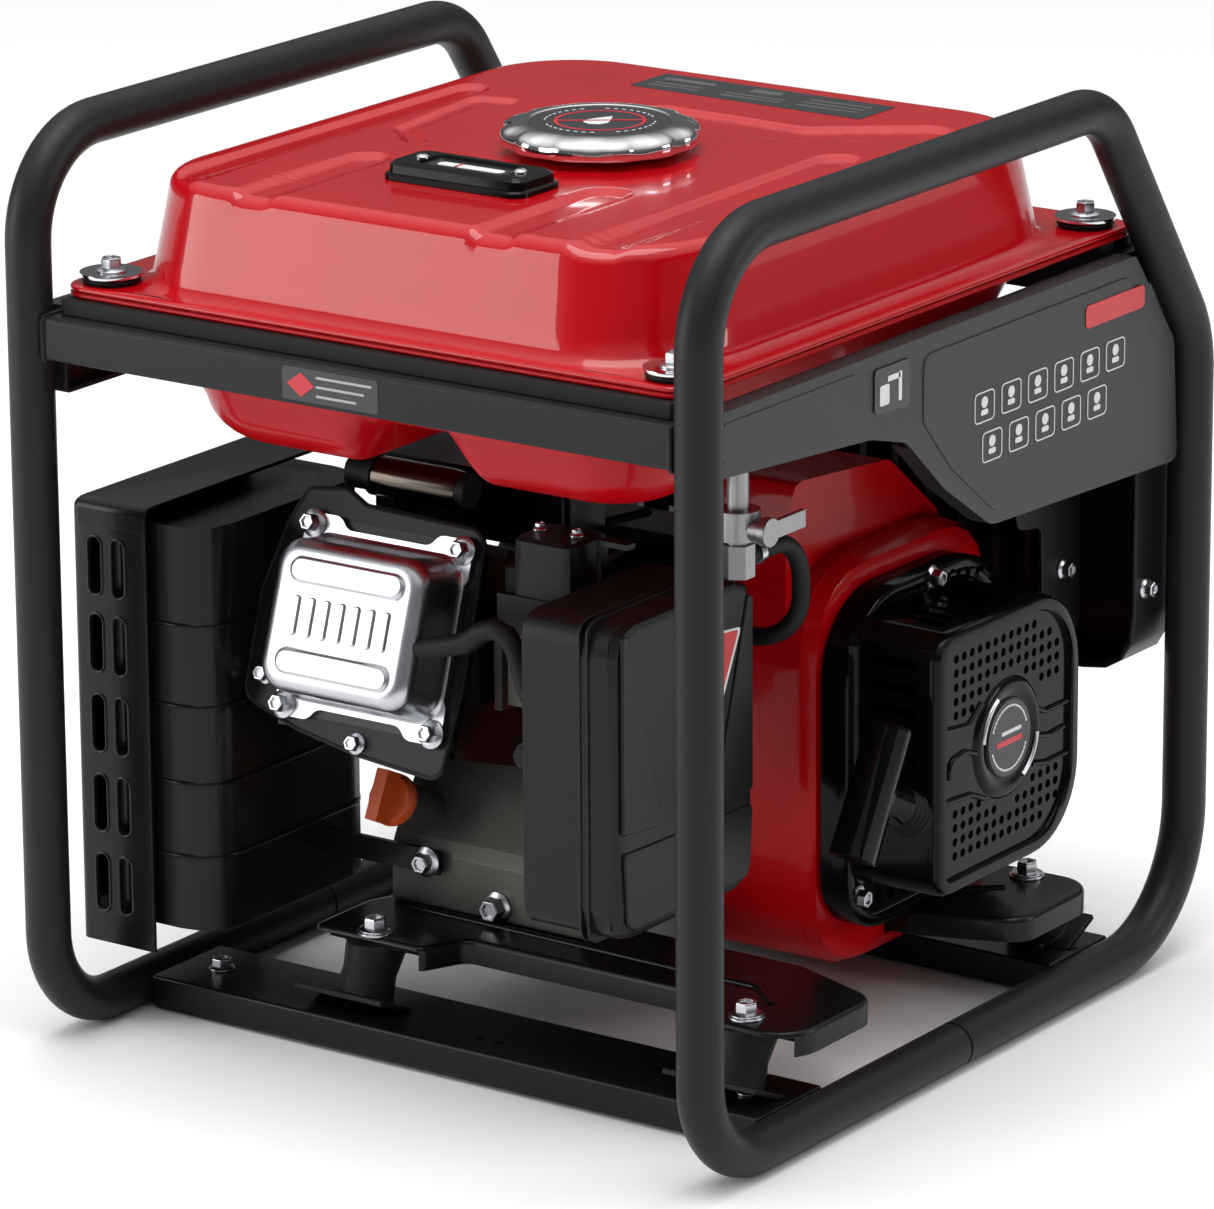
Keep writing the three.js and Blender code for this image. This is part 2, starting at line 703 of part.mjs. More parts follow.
// Crank train, drawn with the piston at the top of its stroke.
const shaft = join(
  rod("x", 0, 0, CASE_LEFT + 3, CYL_X - 22, 12.6, 20),
  rod("x", 0, 0, CYL_X + 22, 128, 12.6, 20),
);
const web = (x0, x1) =>
  slabX(
    outline([
      [-30, -42, 20],
      [30, -42, 20],
      [18, 42, 12],
      [-18, 42, 12],
    ]),
    x0,
    x1,
  );
const pin = rod("x", 0, THROW, CYL_X - 15, CYL_X + 15, 13, 20);
add(
  "crankshaft",
  join(shaft, web(CYL_X - 23, CYL_X - 13), web(CYL_X + 13, CYL_X + 23), pin),
  STEEL,
  0.3,
  1,
  leaning,
);

const smallEnd = THROW + ROD_LENGTH;
const conrod = cut(
  join(
    rod("x", 0, THROW, CYL_X - 11, CYL_X + 11, 20, 20),
    rod("x", 0, smallEnd, CYL_X - 9, CYL_X + 9, 12, 16),
    box(CYL_X - 6, CYL_X + 6, -8, 8, THROW + 10, smallEnd - 6),
  ),
  rod("x", 0, THROW, CYL_X - 20, CYL_X + 20, 13 + GAP, 20),
  rod("x", 0, smallEnd, CYL_X - 20, CYL_X + 20, 8 + GAP, 16),
);
add("connecting_rod", conrod, ALLOY, 0.4, 0.9, leaning);

const piston = join(
  cut(
    rod("z", CYL_X, 0, smallEnd - 20, smallEnd + 24, BORE_R, 24),
    rod("z", CYL_X, 0, smallEnd - 25, smallEnd + 17, BORE_R - 5, 16),
  ),
  rod("x", 0, smallEnd, CYL_X - BORE_R + 3, CYL_X + BORE_R - 3, 8, 16),
);
add("piston", piston, 0xa9abad, 0.35, 0.9, leaning);

// ---- spark plug ----
const plug = join(
  rod("z", 0, 0, -10, 12, 6.5, 12),
  rod("z", 0, 0, 12, 20, 10, 6),
  rod("z", 0, 0, 20, 48, 5, 12),
);
add("spark_plug", moved(plug, CYL_X - 12, 30, 178, PLUG_LEAN), 0xe6e3da, 0.35, 0.1, leaning);
const plugSleeve = cut(
  join(rod("z", 0, 0, 21, 66, 9, 12), rod("x", 0, 66, -34, 46, 9.5, 12)),
  rod("z", 0, 0, 15, 49, 5 + GAP, 12),
);
add("spark_plug_cap", moved(plugSleeve, CYL_X - 12, 30, 178, PLUG_LEAN), RUBBER, 0.7, 0, leaning);

// ---- intake ----
const PORT_Y = CRANK_Y - 185 * Math.sin(CYL_TURN);
const PORT_Z = CRANK_Z + 185 * Math.cos(CYL_TURN);
const CARB_Y = PORT_Y - 14;
const carb = cut(
  join(
    rod("x", PORT_Y, PORT_Z, CYL_X + 60 + GAP, 78, 15, 20),
    box(16, 66, CARB_Y - 20, CARB_Y + 24, PORT_Z - 18, PORT_Z + 26),
    rod("z", 40, CARB_Y - 4, PORT_Z - 46, PORT_Z - 16, 20, 20),
    rod("z", 40, CARB_Y - 4, PORT_Z - 62, PORT_Z - 44, 7, 12),
    box(4, 9, CARB_Y - 16, CARB_Y + 40, PORT_Z - 24, PORT_Z + 24),
  ),
  rod("x", PORT_Y, PORT_Z, CYL_X + 50, 90, 11, 16),
);
add("carburetor", carb, 0xa4a49c, 0.45, 0.8);

const motor = join(
  box(18, 68, CARB_Y - 32, CARB_Y + 12, PORT_Z + 26 + GAP, PORT_Z + 48),
  moved(pillow(34, 30, 4, 34, 1, 2, 45, CARB_Y - 12, 1), 0, 0, PORT_Z + 46),
  rod("z", 24, CARB_Y - 24, PORT_Z + 30, PORT_Z + 62, 5, 8),
);
add("throttle_motor", motor, BLACK, 0.3, 0);

const CHOKE_X = 70;
const CHOKE_Z = PORT_Z + 12;
const choke = join(
  rod("x", CARB_Y - 10, CHOKE_Z, CHOKE_X - 3.7, CHOKE_X + 3, 5, 14),
  box(CHOKE_X, CHOKE_X + 2.5, CARB_Y - 13, CARB_Y - 6, CHOKE_Z, CHOKE_Z + 68),
  box(CHOKE_X, CHOKE_X + 20, CARB_Y - 13, CARB_Y - 6, CHOKE_Z + 66, CHOKE_Z + 69),
);
add("choke_lever", choke, STEEL, 0.4, 0.8);

// ---- air cleaner: base tray, foam element and lid ----
const AIR_Y0 = -212;
const AIR_Y1 = -86;
const AIR_Z0 = 116;
const AIR_Z1 = 288;
const AIR_MID_Y = (AIR_Y0 + AIR_Y1) / 2;
const AIR_MID_Z = (AIR_Z0 + AIR_Z1) / 2;
const AIR_BACK_X = 82;
const AIR_SEAM_X = 119;
const AIR_FACE_X = 144;
// A pillow lying on its side with its top towards +X, centred on the air cleaner.
function sidePillow(w, d, r, x0, x1, edge) {
  return moved(pillow(d, w, r, x1 - x0, 1, edge), x0, AIR_MID_Y, AIR_MID_Z, 0, rotate90, 0);
}
const airW = AIR_Y1 - AIR_Y0;
const airH = AIR_Z1 - AIR_Z0;
const tray = cut(
  slabX(roundRect(airW, airH, 14, AIR_MID_Y, AIR_MID_Z), AIR_BACK_X, AIR_SEAM_X - GAP),
  slabX(roundRect(airW - 6, airH - 6, 11, AIR_MID_Y, AIR_MID_Z), AIR_BACK_X + 3, AIR_SEAM_X + 1),
  rod("x", PORT_Y, PORT_Z, AIR_BACK_X - 5, AIR_BACK_X + 5, 12, 16),
);
add("air_cleaner_base", tray, SOFT_BLACK, 0.5, 0);
const foamOutline = roundRect(airW - 14, airH - 14, 9, AIR_MID_Y, AIR_MID_Z);
const element = slabX(foamOutline, AIR_BACK_X + 14, AIR_SEAM_X + 6);
add("air_filter_element", element, 0x3d3a34, 0.95, 0);
const lidOuter = sidePillow(airW - 12, airH - 12, 12, AIR_SEAM_X, AIR_FACE_X, 7);
const lidInner = sidePillow(airW - 18, airH - 18, 10, AIR_SEAM_X - 1, AIR_FACE_X - 3, 6);
add("air_cleaner_cover", cut(lidOuter, lidInner), SOFT_BLACK, 0.5, 0);

const breather = bentBar(
  [
    [-13, -176, 243],
    [20, -176, 252, 14],
    [46, -176, 272, 14],
    [62, -176, 226, 12],
    [AIR_BACK_X - GAP, -176, 226],
  ],
  6,
  10,
  3,
);
add("breather_hose", cut(breather, upright(join(coverPlate, coverDome))), RUBBER, 0.6, 0);

// ---- oil filler cap ----
const knob = join(
  turned(
    [
      [0, -34],
      [4, -34],
      [4, -4],
      [7.4, -4],
      [7.4, 6 + GAP],
      [15, 6 + GAP],
      [15, 10],
      [13, 13],
      [0, 13],
    ],
    20,
  ),
  box(-4, 4, -14.5, 14.5, 11, 25),
);
add("oil_filler_cap", moved(knob, OIL_X, OIL_Y, OIL_Z, OIL_LEAN), ORANGE, 0.5, 0);

// ---- pressed shroud round the cylinder ----
const SHROUD_SHEET = 2;
const SHROUD_X0_LOCAL = CYL_X - 61;
const SHROUD_X1_LOCAL = CYL_X + 59;
const shroudLow = -62;
const shroudHigh = 50;
const airShroud = cut(
  box(SHROUD_X0_LOCAL, SHROUD_X1_LOCAL, shroudLow, shroudHigh, 150, 228),
  box(
    SHROUD_X0_LOCAL + SHROUD_SHEET,
    SHROUD_X1_LOCAL - SHROUD_SHEET,
    shroudLow + SHROUD_SHEET,
    shroudHigh + 5,
    140,
    240,
  ),
  rod("x", 0, 185, CYL_X - 80, CYL_X - 50, 19, 20),
  rod("x", 0, 185, CYL_X + 50, CYL_X + 80, 19, 20),
);
// The duct that brings air from the fan housing over the crankcase to the cylinder.
const DUCT_LOW_Z = 262;
const DUCT_TOP_Z = 314;
const DUCT_END_X = 40 - GAP;
const ductOutline = (inset, end) =>
  outline([
    [SHROUD_X0_LOCAL + inset, -70 + inset, 6],
    [10 - inset / 2, -70 + inset, 6],
    [end, -8 + inset, 0.5],
    [end, 80 - inset, 0.5],
    [SHROUD_X0_LOCAL + inset, 80 - inset, 6],
  ]);
const duct = cut(
  slab(ductOutline(0, DUCT_END_X), DUCT_LOW_Z, DUCT_TOP_Z),
  slab(ductOutline(SHROUD_SHEET, DUCT_END_X + 5), DUCT_LOW_Z - 5, DUCT_TOP_Z - SHROUD_SHEET),
  upright(box(SHROUD_X0_LOCAL + 2.5, SHROUD_X1_LOCAL - 2.5, -60, 56.5, 140, 240)),
);
add("cylinder_shroud", join(upright(airShroud), duct), BLACK, 0.35, 0.3);

// ---- exhaust ----
const MUFFLER_X0 = -222;
const MUFFLER_X1 = -140;
const MUFFLER_Y0 = -194;
const MUFFLER_Y1 = -46;
const muffler = join(
  slab(
    roundRect(
      MUFFLER_X1 - MUFFLER_X0,
      MUFFLER_Y1 - MUFFLER_Y0,
      24,
      (MUFFLER_X0 + MUFFLER_X1) / 2,
      (MUFFLER_Y0 + MUFFLER_Y1) / 2,
    ),
    62,
    292,
  ),
  rod("x", PORT_Y, PORT_Z, MUFFLER_X1 - 5, CYL_X - 57 - GAP, 13, 18),
  rod("y", -186, 110, MUFFLER_Y1 - 5, MUFFLER_Y1 + 24, 12, 18),
  box(MUFFLER_X1 - 2, -64, -90, -87, 82, 96),
);
add("muffler", muffler, BLACK, 0.5, 0.4);

const GUARD_X0 = -229;
const GUARD_X1 = -177;
const GUARD_Y0 = -201;
const GUARD_Y1 = -40;
const GUARD_Z0 = 47;
const GUARD_Z1 = 301;
const SLOT_X = [-212, -196];
const SLOT_Z = [264, 220, 174, 128, 82];
const slots = SLOT_X.flatMap((x) =>
  SLOT_Z.map((z) => moved(slab(roundRect(8, 32, 3.9, x, 0), -10, 10), 0, GUARD_Y0, z, rotate90)),
);
const guard = cut(
  box(GUARD_X0, GUARD_X1, GUARD_Y0, GUARD_Y1, GUARD_Z0, GUARD_Z1),
  box(GUARD_X0 + 2, GUARD_X1 + 5, GUARD_Y0 + 2, GUARD_Y1 + 5, GUARD_Z0 - 5, GUARD_Z1 - 2),
  ...slots,
);
const guardLip = box(GUARD_X1 - 2, GUARD_X1, GUARD_Y0 + 1, GUARD_Y1, GUARD_Z1 - 7, GUARD_Z1);
add("muffler_guard", join(guard, guardLip), BLACK, 0.4, 0.4);

// ---- alternator, fan and recoil starter on the crank axis ----
const shaftHole = rod("x", CRANK_Y, CRANK_Z, -200, 300, 13, 20);
function poles() {
  const shape = new THREE.Shape();
  const count = 12;
  for (let k = 0; k < count * 4; k++) {
    const a = (2 * Math.PI * (k + 0.5)) / (count * 4);
    const r = k % 4 < 2 ? 68 : 54;
    if (k === 0) shape.moveTo(CRANK_Y + r * Math.cos(a), CRANK_Z + r * Math.sin(a));
    else shape.lineTo(CRANK_Y + r * Math.cos(a), CRANK_Z + r * Math.sin(a));
  }
  shape.closePath();
  return shape;
}
const stator = cut(
  join(slabX(poles(), 40, 76), rod("x", CRANK_Y, CRANK_Z, CASE_RIGHT + GAP, 74, 42, 28)),
  rod("x", CRANK_Y, CRANK_Z, 0, 100, 30, 28),
);
add("alternator_stator", stator, 0x8a5a2b, 0.5, 0.5);

const ROTOR_R = 80;
const rotor = cut(
  rod("x", CRANK_Y, CRANK_Z, 36, 92, ROTOR_R, 32),
  rod("x", CRANK_Y, CRANK_Z, 30, 82, 70, 28),
  shaftHole,
);
add("flywheel_rotor", rotor, 0x77797c, 0.4, 0.9);

const blades = Array.from({ length: 10 }, (_, k) =>
  moved(box(2, 20, 34, 76, -1.5, 1.5), 92 + GAP, CRANK_Y, CRANK_Z, (2 * Math.PI * k) / 10),
);
const fan = cut(join(rod("x", CRANK_Y, CRANK_Z, 92 + GAP, 96, 78, 28), ...blades), shaftHole);
add("cooling_fan", fan, SOFT_BLACK, 0.6, 0);

const SHROUD_X0 = 40;
const SHROUD_X1 = 135;
const SHROUD_MID_Y = 79;
const SHROUD_MID_Z = 150;
const SHROUD_WIDTH = SHROUD_X1 - SHROUD_X0;
const bulge = pillow(210, 156, 42, SHROUD_WIDTH, 1, 12);
const bulgeHollow = pillow(205, 152, 40, SHROUD_WIDTH - 3, 1, 10);
const fanShroud = cut(
  join(
    moved(bulge, SHROUD_X0, SHROUD_MID_Y, SHROUD_MID_Z, 0, rotate90),
    slabX(
      outline([
        [-8, 200, 4],
        [150, 200, 4],
        [150, 262, 20],
        [95, 306, 10],
        [0, 314, 10],
        [-8, 280, 8],
      ]),
      SHROUD_X0,
      112,
    ),
  ),
  moved(bulgeHollow, SHROUD_X0 - 1, SHROUD_MID_Y, SHROUD_MID_Z, 0, rotate90),
  slabX(
    outline([
      [-5, 190, 4],
      [147, 190, 4],
      [147, 260, 18],
      [94, 303, 8],
      [2, 311, 8],
      [-5, 279, 6],
    ]),
    SHROUD_X0 - 5,
    109,
  ),
  rod("x", CRANK_Y, CRANK_Z, 120, 150, 66, 28),
  box(SHROUD_X1 - 15, SHROUD_X1 + 5, 57, 163, BEARER_TOP_Z - 16, BEARER_TOP_Z + 3),
);
add("fan_shroud", fanShroud, RED, 0.12, 0.1);

const RECOIL_X0 = SHROUD_X1 + GAP;
const RECOIL_STEP_X = 160;
const RECOIL_X1 = 207;
const drumShape = (inset) =>
  outline([
    [2 + inset, 88 + inset, 20 - inset],
    [150 - inset, 88 + inset, 58 - inset],
    [150 - inset, 243 - inset, 58 - inset],
    [2 + inset, 243 - inset, 20 - inset],
  ]);
const baseShape = (inset) =>
  outline([
    [-1 + inset, 63 + inset, 46 - inset],
    [162 - inset, 63 + inset, 60 - inset],
    [162 - inset, 252 - inset, 70 - inset],
    [-1 + inset, 252 - inset, 66 - inset],
  ]);
const ropeDirection = new THREE.Vector3(0, -Math.cos(PULL_ANGLE), Math.sin(PULL_ANGLE));
const TANGENT_Y = CRANK_Y - REEL_R * Math.sin(PULL_ANGLE);
const TANGENT_Z = CRANK_Z - REEL_R * Math.cos(PULL_ANGLE);
const alongRope = (s) => [TANGENT_Y + s * ropeDirection.y, TANGENT_Z + s * ropeDirection.z];
// A bar along the rope's line between two distances from the reel.
function ropeBar(s0, s1, r, segments = 14, rEnd = r) {
  const [y, z] = alongRope(0);
  return moved(rod("y", 0, 0, -s1, -s0, rEnd, segments, r), STARTER_X, y, z, -PULL_ANGLE);
}
const gridRows = [104, 116, 216, 228];
const grid = gridRows.flatMap((z, row) =>
  [34, 50, 66, 82, 98].map((y) => rod("x", y + (row % 2) * 8, z, RECOIL_X1 - 10, RECOIL_X1 + 5, 3.6, 6)),
);
const recoilHousing = cut(
  join(slabX(baseShape(0), RECOIL_X0, RECOIL_STEP_X), slabX(drumShape(0), RECOIL_STEP_X - 1, RECOIL_X1)),
  slabX(baseShape(3), RECOIL_X0 - 5, RECOIL_STEP_X - 3),
  slabX(drumShape(3), RECOIL_STEP_X - 6, RECOIL_X1 - 3),
  ropeBar(40, 90, 6, 12),
  ...grid,
);
const reelPost = rod("x", CRANK_Y, CRANK_Z, 172, RECOIL_X1 - 1, 8, 16);
add("recoil_housing", join(recoilHousing, reelPost), BLACK, 0.2, 0);

const reel = cut(
  join(
    rod("x", CRANK_Y, CRANK_Z, STARTER_X - 8, STARTER_X - 5, 68, 22),
    rod("x", CRANK_Y, CRANK_Z, STARTER_X - 6, STARTER_X + 6, REEL_R - 3, 22),
    rod("x", CRANK_Y, CRANK_Z, STARTER_X + 5, STARTER_X + 8, 68, 22),
  ),
  rod("x", CRANK_Y, CRANK_Z, STARTER_X - 20, STARTER_X + 20, 8 + GAP, 16),
);
add("starter_reel", reel, SOFT_BLACK, 0.5, 0);

const ROPE_START = 2;
const GRIP_NEAR = 73; // distance along the rope at which the grip begins
const gripBar = moved(
  moved(pillow(18, 14, 5, 76, 0.5, 3, 0, 0, 2), 0, 0, -38),
  STARTER_X,
  ...alongRope(GRIP_NEAR + 28),
  -PULL_ANGLE,
);
add("starter_grip", join(ropeBar(GRIP_NEAR, GRIP_NEAR + 24, 12, 14, 8), gripBar), SOFT_BLACK, 0.6, 0);
add("starter_rope", ropeBar(ROPE_START, GRIP_NEAR - GAP, 2.4, 10), 0x2b2b2b, 0.9, 0);

// ---- electrics behind the engine ----
const BOX_X = INSIDE_X - 1;
const BOX_Y0 = 210;
const BOX_Y1 = 251;
const BOX_Z0 = 166;
const BOX_Z1 = 350;
const boxOutline = (inset) =>
  outline([
    [-BOX_X + inset, BOX_Z0 + inset, 34 - inset],
    [BOX_X - inset, BOX_Z0 + inset, 34 - inset],
    [BOX_X - inset, BOX_Z1 - inset, 12 - inset],
    [-BOX_X + inset, BOX_Z1 - inset, 12 - inset],
  ]);
// An outline in the (x, z) plane, pushed along Y.
function slabY(shape, y0, y1) {
  const g = new THREE.ExtrudeGeometry(shape, { depth: y1 - y0, bevelEnabled: false, curveSegments: 8 });
  g.rotateX(rotate90);
  return solid(put(g, 0, y1, 0));
}
const SWITCH = { x: -130, z: 300, w: 22, h: 30 };
const ECO = { x: -80, z: 300, w: 16, h: 24 };
const BREAKER = { x: -130, z: 240 };
const OUTLET = { x: 60, z: 270, w: 92, h: 62 };
// The opening in the panel for a switch or an outlet, 1 mm larger all round.
function panelHole(part) {
  const w = part.w / 2 + 1;
  const h = part.h / 2 + 1;
  return box(part.x - w, part.x + w, BOX_Y1 - 10, BOX_Y1 + 5, part.z - h, part.z + h);
}
const controlBox = cut(
  slabY(boxOutline(0), BOX_Y0, BOX_Y1),
  slabY(boxOutline(3), BOX_Y0 - 5, BOX_Y1 - 3),
  panelHole(SWITCH),
  panelHole(ECO),
  panelHole(OUTLET),
  rod("y", BREAKER.x, BREAKER.z, BOX_Y1 - 10, BOX_Y1 + 5, 7.5, 16),
);
add("control_box", controlBox, SOFT_BLACK, 0.5, 0);

const fins = Array.from({ length: 13 }, (_, k) => box(-120 + k * 22, -116 + k * 22, 186, 206, 190, 330));
add("inverter_module", join(box(-124, 152, 204, 232, 186, 334), ...fins), 0x3a3b3d, 0.6, 0.4);

function rocker(part) {
  const w = part.w / 2 - 0.5;
  const h = part.h / 2 - 1.5;
  const shape = outline([
    [-h, -6, 1],
    [h, -6, 1],
    [h, 2, 1],
    [0, 0.4, 0],
    [-h, 4.5, 1],
  ]);
  return moved(slabX(shape, -w, w), part.x, BOX_Y1, part.z, -rotate90);
}
add("engine_switch", rocker(SWITCH), 0xb01018, 0.4, 0);
add("eco_switch", rocker(ECO), 0x1b1b1b, 0.4, 0);
add("breaker_button", rod("y", BREAKER.x, BREAKER.z, BOX_Y1 - 8, BOX_Y1 + 5, 6.5, 16), 0xdddddd, 0.4, 0);
const sockets = [-22, 22].flatMap((dx) => [
  rod("y", OUTLET.x + dx, OUTLET.z, BOX_Y1 - 4, BOX_Y1 + 5, 15, 24),
]);
const outlet = cut(
  box(
    OUTLET.x - OUTLET.w / 2,
    OUTLET.x + OUTLET.w / 2,
    BOX_Y1 - 16,
    BOX_Y1 + 2,
    OUTLET.z - OUTLET.h / 2,
    OUTLET.z + OUTLET.h / 2,
  ),
  ...sockets,
);
add("duplex_outlet", outlet, 0x26272a, 0.4, 0);

export default generator;
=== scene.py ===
"""Looks of an open-frame portable generator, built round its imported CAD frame."""

import json
import math

import bmesh
import bpy
from mathutils import Matrix, Vector


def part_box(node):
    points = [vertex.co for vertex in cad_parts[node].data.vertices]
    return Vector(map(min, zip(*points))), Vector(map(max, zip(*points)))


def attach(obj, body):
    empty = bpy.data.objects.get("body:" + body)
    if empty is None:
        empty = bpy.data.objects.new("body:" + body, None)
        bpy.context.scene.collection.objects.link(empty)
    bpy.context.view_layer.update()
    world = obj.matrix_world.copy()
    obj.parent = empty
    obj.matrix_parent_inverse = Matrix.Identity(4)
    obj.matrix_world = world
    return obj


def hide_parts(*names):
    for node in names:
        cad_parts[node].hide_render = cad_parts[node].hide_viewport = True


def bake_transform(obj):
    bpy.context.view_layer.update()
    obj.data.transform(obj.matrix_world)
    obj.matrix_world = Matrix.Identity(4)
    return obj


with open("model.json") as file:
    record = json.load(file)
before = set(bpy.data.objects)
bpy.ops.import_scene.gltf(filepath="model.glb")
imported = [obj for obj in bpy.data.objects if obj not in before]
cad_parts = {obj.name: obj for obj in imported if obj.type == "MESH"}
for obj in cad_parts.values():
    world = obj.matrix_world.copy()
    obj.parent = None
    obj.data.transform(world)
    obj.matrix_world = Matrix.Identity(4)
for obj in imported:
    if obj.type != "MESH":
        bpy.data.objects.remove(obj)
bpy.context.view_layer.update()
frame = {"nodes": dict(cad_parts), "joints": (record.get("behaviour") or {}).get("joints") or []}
MM = 0.001  # everything below is worked out in millimetres and scaled once
ROOT = "generator"
scene = bpy.context.scene


# ---- places from the frame ----
def span(node):
    low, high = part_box(node)
    return Vector(low) / MM, Vector(high) / MM


def middle(node):
    low, high = span(node)
    return (low + high) / 2


def joint_place(name):
    joint = next(j for j in frame["joints"] if j["name"] == name)
    return Vector(joint["pos_m"]) / MM


# ---- materials ----
def with_inputs(node, values):
    for name, value in values.items():
        node.inputs[name].default_value = value
    return node


def shader(name, colour, roughness, metallic=0.0, coat=0.0, grain=0.0, grain_size=0.4,
           wear=0.04, gleam=0.5):
    """A procedural surface: uneven tint and roughness, with fine grain in the relief."""
    material = bpy.data.materials.new(name)
    material.use_nodes = True
    nodes, links = material.node_tree.nodes, material.node_tree.links
    surface = with_inputs(nodes["Principled BSDF"], {
        "Base Color": (*colour, 1), "Metallic": metallic, "Coat Weight": coat, "Coat Roughness": 0.04,
        "Specular IOR Level": gleam})
    place = nodes.new("ShaderNodeTexCoord")
    patches = with_inputs(nodes.new("ShaderNodeTexNoise"), {"Scale": 14, "Detail": 5})
    links.new(place.outputs["Object"], patches.inputs["Vector"])
    spread = with_inputs(nodes.new("ShaderNodeMapRange"), {
        "To Min": max(roughness - wear, 0.02), "To Max": min(roughness + wear, 1)})
    links.new(patches.outputs["Fac"], spread.inputs["Value"])
    links.new(spread.outputs["Result"], surface.inputs["Roughness"])
    tint = nodes.new("ShaderNodeMix")
    tint.data_type = "RGBA"
    tint.inputs["A"].default_value = (*[c * 0.9 for c in colour], 1)
    tint.inputs["B"].default_value = (*[min(c * 1.1, 1) for c in colour], 1)
    links.new(patches.outputs["Fac"], tint.inputs["Factor"])
    links.new(tint.outputs["Result"], surface.inputs["Base Color"])
    fine = with_inputs(nodes.new("ShaderNodeTexNoise"), {"Scale": 1 / (grain_size * MM), "Detail": 3})
    links.new(place.outputs["Object"], fine.inputs["Vector"])
    relief = with_inputs(nodes.new("ShaderNodeBump"), {"Strength": grain, "Distance": 0.2 * MM})
    links.new(fine.outputs["Fac"], relief.inputs["Height"])
    links.new(relief.outputs["Normal"], surface.inputs["Normal"])
    return material


FRAME_PAINT = shader("frame_paint", (0.0125, 0.0128, 0.014), 0.42, grain=0.22, grain_size=0.5,
                     wear=0.03, gleam=0.2)
BLACK_PAINT = shader("black_paint", (0.005, 0.005, 0.0056), 0.28, coat=0.06, grain=0.06, grain_size=1.2,
                     gleam=0.2)
COVER_PLASTIC = shader("cover_plastic", (0.013, 0.0132, 0.0145), 0.44, grain=0.22, grain_size=0.35,
                       gleam=0.42)
RED_PAINT = shader("tank_red", (0.43, 0.0014, 0.0055), 0.24, coat=0.7, grain=0.012, grain_size=2.5,
                   gleam=0.15)
LOWER_RED = shader("lower_red", (0.40, 0.0012, 0.005), 0.3, coat=0.22, grain=0.012, grain_size=2.5,
                   gleam=0.1)
SHROUD_RED = shader("shroud_red", (0.5, 0.0012, 0.006), 0.26, coat=0.14, grain=0.012,
                    grain_size=2.5, gleam=0.08)
SATIN_BLACK = shader("satin_black", (0.0085, 0.0087, 0.0096), 0.36, grain=0.12, grain_size=0.5, gleam=0.2)
GLOSS_BLACK = shader("gloss_black", (0.0028, 0.0028, 0.003), 0.12, coat=0.03, grain=0.01, grain_size=2,
                     gleam=0.12)
RUBBER = shader("rubber", (0.0075, 0.0075, 0.008), 0.55, grain=0.12, grain_size=0.8, gleam=0.2)
CHROME = shader("chrome", (0.72, 0.72, 0.74), 0.12, metallic=1, grain=0.01, grain_size=2)
ZINC = shader("zinc", (0.52, 0.53, 0.56), 0.26, metallic=1, grain=0.08, grain_size=0.8)
DULL_STEEL = shader("dull_steel", (0.3, 0.3, 0.31), 0.38, metallic=1, grain=0.15, grain_size=0.8,
                    wear=0.08)
COVER_STEEL = shader("cover_steel", (0.5, 0.51, 0.54), 0.28, metallic=1, grain=0.02, grain_size=1.5)
ALLOY = shader("cast_alloy", (0.12, 0.115, 0.105), 0.5, metallic=0.8, grain=0.7, grain_size=1.1, wear=0.1)
DARK_ALLOY = shader("dark_alloy", (0.05, 0.05, 0.05), 0.5, metallic=0.7, grain=0.6, grain_size=1.1)
BRONZE = shader("bronze_shield", (0.10, 0.085, 0.07), 0.2, metallic=1, grain=0.1, grain_size=1)
ORANGE = shader("orange_plastic", (0.56, 0.075, 0.01), 0.42, grain=0.15, grain_size=0.6)
WHITE_PRINT = shader("white_print", (0.62, 0.63, 0.64), 0.5, grain=0.05)
RED_PRINT = shader("red_print", (0.5, 0.012, 0.02), 0.35, grain=0.02)
GREY_PRINT = shader("grey_print", (0.02, 0.021, 0.024), 0.38, grain=0.03)
IVORY = shader("plug_ceramic", (0.7, 0.68, 0.62), 0.3, grain=0.02)
COPPER = shader("stator_iron", (0.35, 0.14, 0.05), 0.4, metallic=0.8, grain=0.5, grain_size=1)
FOAM = shader("filter_foam", (0.04, 0.036, 0.028), 0.9, grain=1, grain_size=1.5)
ROPE = shader("rope_fibre", (0.03, 0.03, 0.03), 0.85, grain=1, grain_size=1.2)
WINDOW = shader("window", (0.02, 0.022, 0.024), 0.06, coat=1, grain=0.01)


# ---- mesh code ----
TOUCHING = 0.005  # points closer than this are joined
THINNEST = 0.01  # the radius at which a turned body is closed on its axis
CREASE = 38  # degrees; a sharper fold keeps its edge, or is rounded by the bevel


def object_from(name, bm, material):
    """A smooth-faced object in the scene, made of a mesh in millimetres."""
    mesh = bpy.data.meshes.new(name)
    bm.to_mesh(mesh)
    bm.free()
    mesh.transform(Matrix.Scale(MM, 4))
    mesh.materials.append(material)
    for face in mesh.polygons:
        face.use_smooth = True
    made = bpy.data.objects.new(name, mesh)
    scene.collection.objects.link(made)
    return made


def piece(name, bm, material, body=ROOT, replaces=(), sharp=CREASE, bevel=0.0):
    """Turns a mesh in millimetres into a piece of the model that rides on a body."""
    bmesh.ops.remove_doubles(bm, verts=bm.verts, dist=TOUCHING)
    bmesh.ops.recalc_face_normals(bm, faces=bm.faces)
    made = object_from(name, bm, material)
    if bevel:
        rounding = made.modifiers.new("rounding", "BEVEL")
        rounding.width = bevel * MM
        rounding.segments = 3
        rounding.limit_method = "ANGLE"
        rounding.angle_limit = math.radians(CREASE)
        even = made.modifiers.new("even", "WEIGHTED_NORMAL")
        even.keep_sharp = True
    else:
        made.data.set_sharp_from_angle(angle=math.radians(sharp))
    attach(made, body)
    if replaces:
        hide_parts(*replaces)


